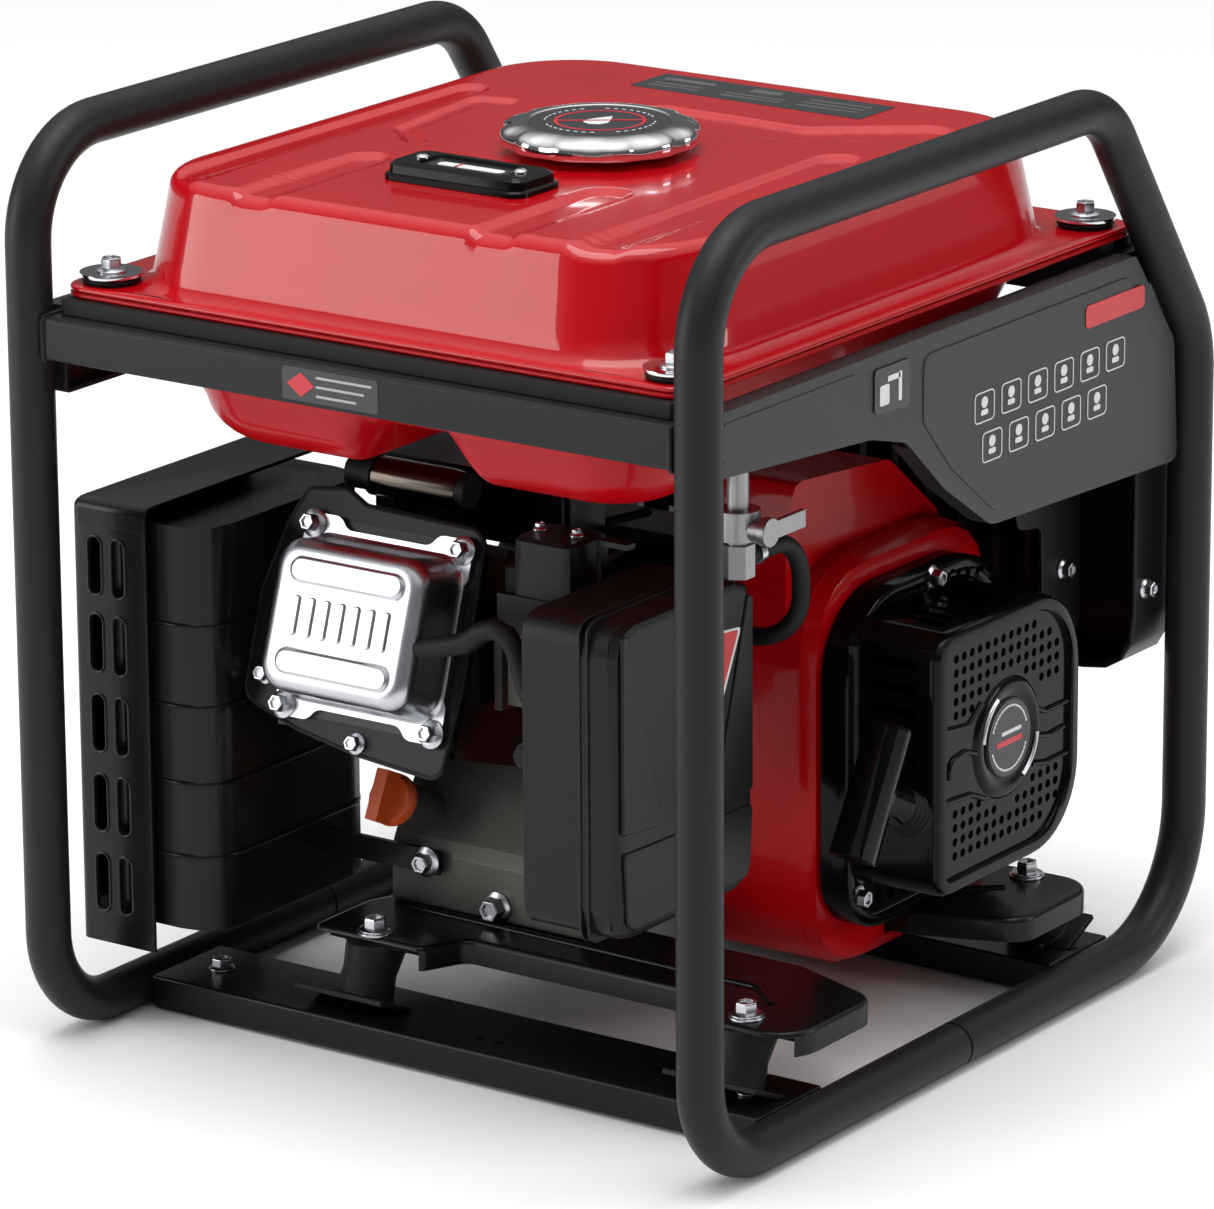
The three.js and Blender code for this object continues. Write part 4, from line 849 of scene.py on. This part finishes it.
def fuel_hose():
    """The hose that runs back from the valve, turns down and then across, with its clip."""
    low, high = span("fuel_hose")
    x = middle("fuel_valve_body").x - 2
    start_y = span("fuel_valve_body")[0].y + 20
    far_y = high.y - 5
    top_z, low_z = high.z - 5, low.z + 5
    route = bend_points([(x, start_y, top_z), (x, far_y, top_z, 26), (x, far_y, low_z, 26),
                         (low.x, far_y - 16, low_z)], steps=14)
    piece("fuel_hose_tube", sweep(route, 5, 24), RUBBER, replaces=["fuel_hose"])
    spring = turned([(5.2, -2.4), (6.2, -2.4), (6.2, 2.4), (5.2, 2.4)], 32,
                    facing((0, 1, 0), (x, start_y + 9, top_z)), False, False)
    merge(spring, prism(box_outline(3, 8, 0.5), -2, 2), shift(x, start_y + 9, top_z + 8))
    piece("hose_clip", spring, ZINC)


fuel_hose()


# ---- engine ----
softened("crankcase", ALLOY, 1.6)
softened("cylinder_head", DARK_ALLOY, 0.8)
softened("cylinder_shroud", BLACK_PAINT, 1.0)
CRANK = middle("starter_reel")
CYL_X = middle("piston").x
HEAD_LEAN = math.radians(18)
AXIS = Vector((0, -math.cos(HEAD_LEAN), math.sin(HEAD_LEAN)))
UP = Vector((0, math.sin(HEAD_LEAN), math.cos(HEAD_LEAN)))
HEAD_FACE = 238.0  # distance from the crank to the valve cover's seat


def on_head(u, v, w):
    """A point from the cylinder's axis: u across, v up, w out from the valve cover's seat."""
    return Vector((CYL_X + u, CRANK.y, CRANK.z)) + UP * v + AXIS * (HEAD_FACE + w)


HEAD_FRAME = Matrix((
    (1, 0, 0, CYL_X),
    (0, UP.y, AXIS.y, on_head(0, 0, 0).y),
    (0, UP.z, AXIS.z, on_head(0, 0, 0).z),
    (0, 0, 0, 1)))


def valve_cover():
    """Bright pressed cover: eared flange, rounded dome and a rubber seal."""
    ear = 50
    side = [(-58, -58, 11), (-34, -58, 8), (-29, -51, 8), (29, -51, 8), (34, -58, 8)]
    corners = []
    for turn in range(4):  # each side runs from an ear along a straight edge to the next ear
        for x, y, r in side:
            for _ in range(turn):
                x, y = -y, x
            corners.append((x, y, r))
    flange = [p * (56 / 58) for p in rounded(corners, 5)]
    bm = prism(flange, 0.2, 2.6)
    merge(bm, cover_dome())
    bm.transform(HEAD_FRAME)
    piece("valve_cover_pressing", bm, COVER_STEEL, replaces=["valve_cover"], sharp=50)
    seal = prism([p * 0.985 for p in flange], -0.3, 0.2)
    seal.transform(HEAD_FRAME)
    piece("valve_cover_gasket", seal, RUBBER)
    for k, (u, v) in enumerate(((-ear, -ear), (ear, -ear), (-ear, ear), (ear, ear))):
        hex_bolt(f"valve_cover_bolt_{k}", on_head(u, v, 2.6), AXIS, 9, 7, flange=8)


def dome_ring(a, b, r, w):
    return [Vector((p.x, p.y, w)) for p in tank_ring(a, b, r, 0, 0, 0, 10, 30)]


def cover_dome():
    """The cover's dome, with two low obround swellings on its face."""
    rings = [dome_ring(54, 46.5, 17, 2.6), dome_ring(52.6, 45, 16, 3.4), dome_ring(51.8, 44.2, 16, 6),
             dome_ring(50, 42, 15, 26)]
    for k in range(1, 6):
        lean = math.radians(18 * k)
        inset = 8 * (1 - math.cos(lean))
        rings.append(dome_ring(50 - inset, 42 - inset, 15 - inset * 0.6, 26 + 8 * math.sin(lean)))
    rings += [dome_ring(42 * s, 34 * s, 10.2 * s, 34) for s in shrinking(60)]
    swelling, half_width = 1.1, 6.4
    for ring in rings[9:]:  # the rings of the flat face
        for p in ring:
            for mid in (-25, 25):
                gap = distance_to_route(p.x, p.y, [(-31, mid), (31, mid)])
                p.z += swelling * smooth((half_width - gap) / 1.4 + 0.5)
    return loft(rings, close_first=False)


valve_cover()


def head_plate():
    """Black moulded surround behind the valve cover, with a lug beside the plug."""
    outline = rounded([(-80, -50, 10), (-40, -62, 8), (0, -69, 10), (58, -74, 8), (62, -20, 10), (60, 62, 10),
                       (-20, 64, 8), (-34, 71, 6), (-60, 68, 6), (-70, 48, 6), (-80, 10, 12)])
    plate = prism(outline, -4, -0.7)
    plate.transform(HEAD_FRAME)
    piece("head_surround", plate, SATIN_BLACK, bevel=0.8)
    lip = sweep([HEAD_FRAME @ Vector((p.x, p.y, -1.6)) for p in outline], 1.5, 8, closed=True)
    piece("head_surround_lip", lip, SATIN_BLACK)
    for k, (u, v) in enumerate(((-68, -36), (0, -63.5))):
        hex_bolt(f"head_surround_bolt_{k}", on_head(u, v, -0.7), AXIS, 8, 5, flange=6)


head_plate()


def band_bars():
    """A row of plain upright ribs across the cover's middle."""
    bars = bmesh.new()
    for k in range(7):
        merge(bars, prism(box_outline(4.4, 22, 2, -30 + 10 * k, 0), 33.2, 35.2))
    bars.transform(HEAD_FRAME)
    piece("valve_cover_bars", bars, COVER_STEEL, bevel=0.9)


band_bars()


# ---- ignition, carburettor and throttle ----
def ignition():
    softened("spark_plug_cap", RUBBER, 1.0)
    cap_low, cap_high = span("spark_plug_cap")
    start = Vector((cap_low.x + 18, cap_low.y + 9.6, cap_high.z - 9.6))
    along = Vector((56, 0, 0))
    stops = [(0, 9.9), (1.2, 10.9), (along.length - 7, 10.9), (along.length, 9.9)]
    shield = turned([(r, z) for z, r in stops], 40, facing(along, start))
    piece("spark_shield", shield, BRONZE, sharp=30)
    collar = turned([(9.8, -4), (11.4, -3.4), (11.4, 0), (9.8, 0.6)], 40, facing(along, start), False, False)
    piece("spark_collar", collar, RUBBER)
    cap = middle("spark_plug_cap")
    route = bend_points([(cap.x - 10, cap.y + 6, cap.z + 6), (-128, cap.y + 12, cap.z + 10, 14),
                         (-132, cap.y + 60, 300, 20), (-110, 10, 286, 20), (-60, 30, 280)], steps=8)
    piece("ignition_lead", sweep(route, 3.4, 16), RUBBER)


ignition()
softened("carburetor", ALLOY, 1.0)
softened("throttle_motor", SATIN_BLACK, 1.0)
softened("choke_lever", BLACK_PAINT, 0.8, "choke")


def carburetor_details():
    low, high = span("carburetor")
    mid_x = (low.x + high.x) / 2
    solenoid = turned([(0, 0), (9, 0), (9, 1), (9, 15), (7.5, 17), (5.5, 17), (5.5, 22), (0, 22)], 32,
                      facing((0, -1, 0), (mid_x - 6, low.y + 14, low.z + 20)))
    piece("fuel_solenoid", solenoid, SATIN_BLACK)
    hex_bolt("float_bowl_bolt", (mid_x, (low.y + high.y) / 2, low.z + 1), (0, 0, -1), 9, 5)
    motor_high = span("throttle_motor")[1]
    spot = middle("throttle_motor")
    for k, dx in enumerate((-12, 12)):
        hex_bolt(f"throttle_motor_screw_{k}", (spot.x + dx, spot.y, motor_high.z - 0.2), (0, 0, 1), 5, 2.5,
                 flange=4)
    route = bend_points([(spot.x, motor_high.y - 2, spot.z), (spot.x, -62, spot.z + 4, 10),
                         (spot.x - 30, -40, spot.z + 8, 10), (spot.x - 34, 10, spot.z + 2)], steps=6)
    piece("throttle_lead", sweep(route, 2.6, 12), RUBBER)


carburetor_details()


# ---- air cleaner ----
def air_cleaner():
    low, high = span("air_cleaner_cover")
    softened("air_cleaner_base", SATIN_BLACK, 1.0)
    softened("air_cleaner_cover", SATIN_BLACK, 2.2)
    x = high.x
    facets = (
        [(low.y + 4, 284, 2), (low.y + 9, 284, 2), (-173, 173, 5), (low.y + 4, 176, 2)],
        [(high.y - 5, 278, 2), (high.y - 10, 279, 2), (-124, 172, 5), (high.y - 5, 170, 2)],
        [(low.y + 5, 166, 3), (high.y - 5, 162, 3), (high.y - 8, 122, 8), (low.y + 8, 122, 8)])
    for k, corners in enumerate(facets):
        raised_plate(f"cleaner_facet_{k}", rounded(corners), x - 0.8, 2.0, SATIN_BLACK, 0.9)
    border = rounded([(-150, 268, 2), (-99, 263, 2), (-116, 228, 2), (-136, 228, 2)])
    raised_plate("cleaner_label_edge", border, x + 0.05, 0.25, WHITE_PRINT, 0)
    label = rounded([(-147, 266.5, 1), (-102, 262, 1), (-117.5, 230, 1), (-134.5, 230, 1)])
    raised_plate("cleaner_label", label, x + 0.2, 0.25, RED_PRINT, 0)
    size, spot = high - low, middle("air_cleaner_cover")
    for k, seam_x in enumerate((low.x + 0.5, low.x + 5.5)):
        bead = prism(box_outline(size.y + 1.4, size.z + 1.4, 9, spot.y, spot.z), 0, 1.6)
        bead.transform(shift(seam_x, 0, 0) @ TO_SIDE)
        piece(f"cleaner_seam_{k}", bead, SATIN_BLACK, bevel=0.5)


air_cleaner()
softened("air_filter_element", FOAM, 1.5)
softened("breather_hose", RUBBER, 0.6)


# ---- oil filler ----
softened("oil_filler_cap", ORANGE, 0.8, "oil_cap")
hex_bolt("oil_drain_bolt", (-28, -84, 69), (0, -1, 0), 12, 8, flange=9)


# ---- exhaust ----
GUARD_FOLD = 6.0  # radius of the guard's folded edges


def guard_shell(inset, reach, floor_z):
    """The guard's block, its front, outer and top edges rounded, open faces pushed out by reach."""
    low, high = span("muffler_guard")
    radius = GUARD_FOLD - inset
    levels = []
    for lean in [None] + [math.radians(18 * k) for k in range(6)]:
        shrink = 0 if lean is None else radius * (1 - math.cos(lean))
        z = floor_z if lean is None else high.z - inset - radius * (1 - math.sin(lean))
        left, front = low.x + inset + shrink, low.y + inset + shrink
        right, rear = high.x + reach, high.y + reach
        outline = rounded([(left, front, radius), (right, front, 0.5), (right, rear, 0.5), (left, rear, 0.5)])
        levels.append((outline, z))
    return stack(levels)


def muffler_guard():
    """Folded sheet guard with two columns of slots, a bead round each and a step under the top fold."""
    low, high = span("muffler_guard")
    sheet, step = 2.0, 0.7
    cutter = guard_shell(sheet, 5, low.z - 5)
    rims = bmesh.new()
    for x in (-212, -196):
        for z in (264, 220, 174, 128, 82):
            slot = prism(box_outline(8, 32, 3.9, x, z), -10, 10)
            merge(cutter, slot, shift(0, low.y, 0) @ TO_FRONT)
            route = [Vector((p.x, low.y + 0.2, p.y)) for p in box_outline(9.6, 33.6, 4.7, x, z)]
            merge(rims, sweep(route, 0.9, 8, closed=True))
    shell = carved(guard_shell(0, 0, low.z), cutter)
    piece("muffler_guard_sheet", shell, BLACK_PAINT, replaces=["muffler_guard"], sharp=34)
    piece("muffler_guard_rims", rims, BLACK_PAINT)
    band = prism(box_outline(high.x - low.x - 6, 9, 1, (low.x + high.x) / 2 + 3, high.z - 10), -0.1, step)
    band.transform(shift(0, low.y, 0) @ TO_FRONT)
    piece("muffler_guard_fold", band, BLACK_PAINT, bevel=0.3)


def muffler():
    softened("muffler", BLACK_PAINT, 3.0)
    muffler_guard()
    bands = bmesh.new()
    for z in (104, 146, 190, 236):
        route = [Vector((p.x, p.y, z)) for p in box_outline(82.6, 148.6, 24, -181, -120)]
        merge(bands, sweep(route, 1.3, 8, closed=True))
    piece("muffler_bands", bands, BLACK_PAINT)
    hex_bolt("muffler_stay_bolt", (-72, -90.2, 89), (0, -1, 0), 10, 6, flange=9)


muffler()


# ---- alternator, fan and recoil starter ----
softened("crankshaft", ZINC, 0.8)
softened("alternator_stator", COPPER, 0.6)
softened("flywheel_rotor", ZINC, 1.0, "rotor")
softened("cooling_fan", SATIN_BLACK, 0.4, "rotor")
softened("fan_shroud", SHROUD_RED, 1.6)
BADGE = Vector((73, 167))  # (y, z) of the middle of the starter's badge


def recoil_outline(grow):
    """The housing's front edge, seen from the starter side."""
    near, far = max(16 + grow, 1), max(49 + grow, 1)
    return rounded([(-3 - grow, 90 - grow, near), (148 + grow, 90 - grow, far),
                    (148 + grow, 243 + grow, far), (-3 - grow, 243 + grow, near)], 12)


def pan_outline(inset):
    low_y, high_y, low_z, high_z = -8 + inset, 161 - inset, 61 + inset, 254 - inset
    return rounded([(low_y, low_z, 36 - inset), (high_y, low_z, 52 - inset),
                    (high_y, high_z, 58 - inset), (low_y, high_z, 48 - inset)], 12)


def recoil_pan(back_x, step_x):
    """The pressed pan behind the drum, with a groove round its face and slots above and below."""
    levels = [(0, back_x), (0, step_x - 3), (0.9, step_x - 0.9), (3, step_x), (6, step_x),
              (7.5, step_x - 2), (9, step_x - 2.4)]
    bm = stack([(pan_outline(inset), x) for inset, x in levels])
    vents = bmesh.new()
    for y in range(96, 137, 10):
        vent = box_outline(5, 5.6 + (136 - y) * 0.02, 2.2, y, 246 - (y - 96) * 0.14)
        merge(vents, prism(vent, step_x - 8, step_x + 4))
    for y in range(14, 75, 12):
        merge(vents, prism(box_outline(6, 9, 2.6, y, 78), step_x - 8, step_x + 4))
    return carved(bm, vents)


def recoil_drum(back_x, step_x, face):
    """The deep drum, raised to a rim round the grille, with louvres in its side and its top."""
    levels = [(1, step_x - 3), (-0.5, step_x + 1), (-1.5, step_x + 5), (-1.8, face - 8), (-2.2, face - 3.4),
              (-4, face - 1), (-6, face - 0.4), (-10, face - 0.4), (-11.2, face - 3.6), (-11.6, face - 12)]
    drum = stack([(recoil_outline(grow), x) for grow, x in levels])
    into_side = Matrix(((0, 0, 1, 0), (0, 1, 0, 0), (1, 0, 0, 0), (0, 0, 0, 1)))
    into_top = Matrix(((0, 1, 0, 0), (0, 0, 1, 0), (1, 0, 0, 0), (0, 0, 0, 1)))
    louvres = bmesh.new()
    for z in (224, 210, 197, 184, 171):
        merge(louvres, prism(box_outline(28, 5.5, 2.6, back_x + 42, z), -8, 14), into_side)
    for y in range(26, 87, 12):
        merge(louvres, prism(box_outline(28, 5.5, 2.6, back_x + 42, y), 234, 250), into_top)
    return carved(drum, louvres)


def recoil_grille(floor_x):
    """The perforated face, left plain under its badge and the band across it."""
    pitch, hole_r = 8, 2.5
    keep = recoil_outline(-17)
    holes = []
    for i in range(16):
        for j in range(16):
            y, z = 13 + pitch * i, 104.5 + pitch * j
            clear = (Vector((y, z)) - BADGE).length > 39
            if clear and not 143 < z < 189 and inside(keep, y, z):
                holes.append((y, z, hole_r))
    bm = perforated(recoil_outline(-11.4), holes, floor_x - 2, floor_x)
    bm.transform(TO_SIDE)
    piece("recoil_grille", bm, GLOSS_BLACK, sharp=30)


def recoil_housing():
    """Pressed pan with a deep drum and a perforated face behind a raised rim."""
    back_x, face = (corner.x for corner in span("recoil_housing"))
    step_x = back_x + 18  # front of the pan, where the drum begins
    bm = recoil_pan(back_x, step_x)
    merge(bm, recoil_drum(back_x, step_x, face))
    bm.transform(TO_SIDE)
    piece("recoil_pan", bm, GLOSS_BLACK, replaces=["recoil_housing"], sharp=34)
    floor_x = face - 3.6  # front of the perforated plate
    recoil_grille(floor_x)
    grille_ribs(floor_x)
    badge(floor_x)
    for k, (y, z) in enumerate(((78, 248.5), (4, 84), (154, 100))):
        hex_bolt(f"recoil_bolt_{k}", (step_x - 2.2, y, z), (1, 0, 0), 9, 6, flange=7)


def inside(outline, a, b):
    """Whether a point lies inside an outline that turns anticlockwise."""
    for p, q in zip(outline, outline[1:] + outline[:1]):
        if (q[0] - p[0]) * (b - p[1]) - (q[1] - p[1]) * (a - p[0]) < 0:
            return False
    return True


def grille_ribs(floor_x):
    """The ribs that edge the band across the grille."""
    lines = (
        [(8, 187), (34, 184), (47, 193)], [(8, 146), (36, 144), (50, 138)],
        [(99, 178), (112, 172), (136, 172)], [(99, 145), (114, 142), (137, 142)],
        [(14, 158), (14, 168), (30, 170), (44, 165)], [(103, 160), (118, 157), (132, 158)])
    for k, stops in enumerate(lines):
        route = bend_points([(floor_x + 0.2, a, b, 7) for a, b in stops], 6)
        piece(f"grille_rib_{k}", sweep(route, 1.7, 12), GLOSS_BLACK)


def badge(floor_x):
    """A domed ring round a plain disc with ticks, a bar and a stripe, and two painted highlights on the ring:
    bright metal arcs.
    """
    at = shift(0, BADGE.x, BADGE.y)
    profile = [(34.5, 0), (33, 1.6), (30.5, 2.4), (27, 2.2), (24.5, 0.9), (23, 0.9), (22.6, 1.6), (0, 1.6)]
    dome = turned([(r, x + floor_x) for r, x in profile], 72, at @ TO_SIDE, close_first=False)
    piece("badge_ring", dome, GLOSS_BLACK, sharp=50)
    plate_x = floor_x + 2.0
    disc = turned([(21.6, floor_x + 1.6), (21.6, plate_x), (0, plate_x)], 64)
    marks = bmesh.new()
    angles = [math.radians(first + 8 * k) for first in (20, 200) for k in range(18)]
    ring_of_ticks(marks, 2.1, 1.2, 18.2, angles, plate_x, plate_x + 0.15)
    merge(marks, prism(box_outline(20, 2.2, 0.6, 2, 3.5), plate_x, plate_x + 0.15))
    stripe = prism(box_outline(26, 3.2, 0.8, 0, -2), plate_x, plate_x + 0.15)
    for name, bm, material in (("badge_disc", disc, GREY_PRINT), ("badge_marks", marks, WHITE_PRINT),
                               ("badge_stripe", stripe, RED_PRINT)):
        bm.transform(at @ TO_SIDE)
        piece(name, bm, material)
    # Painted highlights: two bright zinc arcs laid on the ring's crest stand in for the light that glints off
    # the gloss-black ring.
    for side, first in (("upper", 118), ("lower", -62)):
        turns = [math.radians(first + 5 * k) for k in range(12)]
        route = [at @ Vector((floor_x + 2.3, 28 * math.cos(t), 28 * math.sin(t))) for t in turns]
        piece(f"badge_painted_highlight_{side}", sweep(route, 1.5, 12), ZINC)


recoil_housing()
softened("starter_reel", SATIN_BLACK, 0.8, "reel")
softened("starter_grip", GLOSS_BLACK, 2.0, "grip")


def rope_bush():
    """Ribbed rubber bush where the rope leaves the housing."""
    low, high = span("starter_rope")
    mouth = Vector(((low.x + high.x) / 2, low.y + 3, high.z - 3))
    pull = Vector((0, -math.cos(math.radians(30)), math.sin(math.radians(30))))
    profile = [(4, -18), (13, -18), (13, -14)]
    for k in range(3):
        start = -13 + 3.4 * k
        profile += [(11 - k, start), (12.4 - k, start + 0.8), (12.4 - k, start + 1.8), (11 - k, start + 2.6)]
    profile += [(8, -2.2), (4, -2)]
    piece("rope_bush", turned(profile, 40, facing(pull, mouth), False, False), RUBBER)


rope_bush()
softened("connecting_rod", ZINC, 0.8)
softened("piston", COVER_STEEL, 0.6)
softened("spark_plug", IVORY, 0.4)

# ---- control panel ----
softened("control_box", SATIN_BLACK, 2.0)
softened("inverter_module", DARK_ALLOY, 0.8)
softened("duplex_outlet", GLOSS_BLACK, 0.8)
softened("engine_switch", RED_PRINT, 0.8, "engine_rocker")
softened("eco_switch", SATIN_BLACK, 0.8, "eco_rocker")
softened("breaker_button", WHITE_PRINT, 0.8, "breaker")


def panel_trim():
    """Screws, frames round the outlet and switches, and a stay with two bolts on the control box."""
    high = span("control_box")[1]
    for k, (x, z) in enumerate(((-188, 190), (188, 190), (-188, 332), (188, 332))):
        hex_bolt(f"panel_screw_{k}", (x, high.y - 0.3, z), (0, 1, 0), 5.5, 2.6, flange=4.5)
    frames = bmesh.new()
    borders = (("duplex_outlet", 5), ("engine_switch", 2.4), ("eco_switch", 2.4), ("breaker_button", 2.6))
    for node, border in borders:
        spot, size = middle(node), span(node)[1] - span(node)[0]
        w, h = size.x + 4, size.z + 4  # room for a rocker to swing
        inner = box_outline(w, h, 1.2, -spot.x, spot.z)
        outer = box_outline(w + 2 * border, h + 2 * border, 3, -spot.x, spot.z)
        levels = ((inner, -0.2), (outer, -0.2), (outer, 1.0), (inner, 1.0), (inner, -0.2))
        stack(levels, False, False, frames)
    frames.transform(shift(0, high.y, 0) @ TO_BACK)
    piece("panel_frames", frames, COVER_PLASTIC, bevel=0.3)
    stay = rounded([(140, 262, 12), (167, 258, 4), (169, 198, 16), (209, 188, 6), (209, 352, 3),
                    (140, 352, 3)], 8)
    raised_plate("panel_stay", stay, 165, 2, SATIN_BLACK, 0.6)
    for k, place in enumerate(((167, 190, 229), (high.x - 0.3, 221, 216))):
        hex_bolt(f"panel_stay_bolt_{k}", place, (1, 0, 0), 8, 5, flange=6)


panel_trim()


# ---- starter rope ----
def starter_rope():
    """Three twisted strands that stretch between the housing and the grip."""
    low, high = span("starter_rope")
    mid_x = (low.x + high.x) / 2
    near = Vector((mid_x, high.y - 3, low.z + 3))
    far = Vector((mid_x, low.y + 3, high.z - 3))
    strands, turns, steps = 3, 11, 240
    side = Vector((1, 0, 0))
    other = (far - near).normalized().cross(side)
    bm = bmesh.new()
    for strand in range(strands):
        twist = []
        for k in range(steps + 1):
            t = k / steps
            a = 2 * math.pi * (t * turns + strand / strands)
            twist.append(near.lerp(far, t) + (side * math.cos(a) + other * math.sin(a)) * 1.15)
        merge(bm, sweep(twist, 1.35, 8))
    made = object_from("rope_strands", bm, ROPE)
    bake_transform(made)
    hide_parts("starter_rope")


starter_rope()


# ---- floor, light and camera ----
def plain_floor():
    reach = 12000.0
    bm = bmesh.new()
    corners = ((-reach, -reach, 0), (reach, -reach, 0), (reach, reach, 0), (-reach, reach, 0))
    bm.faces.new([bm.verts.new(p) for p in corners])
    pale = bpy.data.materials.new("pale_floor")
    pale.use_nodes = True
    with_inputs(pale.node_tree.nodes["Principled BSDF"], {
        "Base Color": (0.93, 0.93, 0.93, 1), "Roughness": 0.6})
    object_from("floor", bm, pale)


plain_floor()


def area_light(name, place, aim, width, height, power):
    lamp = bpy.data.lights.new(name, "AREA")
    lamp.shape = "RECTANGLE"
    lamp.size = width
    lamp.size_y = height
    lamp.energy = power
    made = bpy.data.objects.new(name, lamp)
    scene.collection.objects.link(made)
    made.location = place
    made.rotation_euler = (Vector(aim) - Vector(place)).to_track_quat("-Z", "Y").to_euler()


CENTRE = (0, 0, 0.25)
area_light("left_box", (-2.75, -2.6, 0.9), (-0.1, -0.2, 0.3), 2.2, 2.0, 60)
area_light("right_box", (2.9, 1.5, 1.2), CENTRE, 1.2, 1.0, 18)
area_light("top_box", (0.1, -0.4, 3.2), CENTRE, 2.2, 2.2, 60)


def soft_surround():
    """A pale dome that darkens towards the horizon."""
    world = bpy.data.worlds.new("soft_surround")
    scene.world = world
    world.use_nodes = True
    nodes, links = world.node_tree.nodes, world.node_tree.links
    place = nodes.new("ShaderNodeTexCoord")
    split = nodes.new("ShaderNodeSeparateXYZ")
    climb = with_inputs(nodes.new("ShaderNodeMapRange"), {
        "From Min": 0.3, "From Max": 0.95, "To Min": 0.12, "To Max": 1.45})
    links.new(place.outputs["Generated"], split.inputs["Vector"])
    links.new(split.outputs["Z"], climb.inputs["Value"])
    links.new(climb.outputs["Result"], nodes["Background"].inputs["Strength"])
    nodes["Background"].inputs["Color"].default_value = (1, 1, 1, 1)


soft_surround()
scene.view_settings.view_transform = "Standard"

camera_data = bpy.data.cameras.new("photo_angle")
camera_data.lens = 210.2
camera_data.sensor_width = 36
camera_data.sensor_fit = "HORIZONTAL"
camera_data.clip_end = 50
camera = bpy.data.objects.new("photo_angle", camera_data)
scene.collection.objects.link(camera)
CAMERA_PLACE = (2.1508, -3.0830, 1.3357)
AZIMUTH, ELEVATION, ROLL = math.radians(35.05), math.radians(16.43), math.radians(-0.35)
back = Vector((math.sin(AZIMUTH) * math.cos(ELEVATION), -math.cos(AZIMUTH) * math.cos(ELEVATION),
               math.sin(ELEVATION)))
right0 = Vector((math.cos(AZIMUTH), math.sin(AZIMUTH), 0))
up0 = back.cross(right0)
right = right0 * math.cos(ROLL) + up0 * math.sin(ROLL)
up = up0 * math.cos(ROLL) - right0 * math.sin(ROLL)
turned_to = Matrix((right, up, back)).transposed().to_4x4()
camera.matrix_world = Matrix.Translation(CAMERA_PLACE) @ turned_to
scene.camera = camera
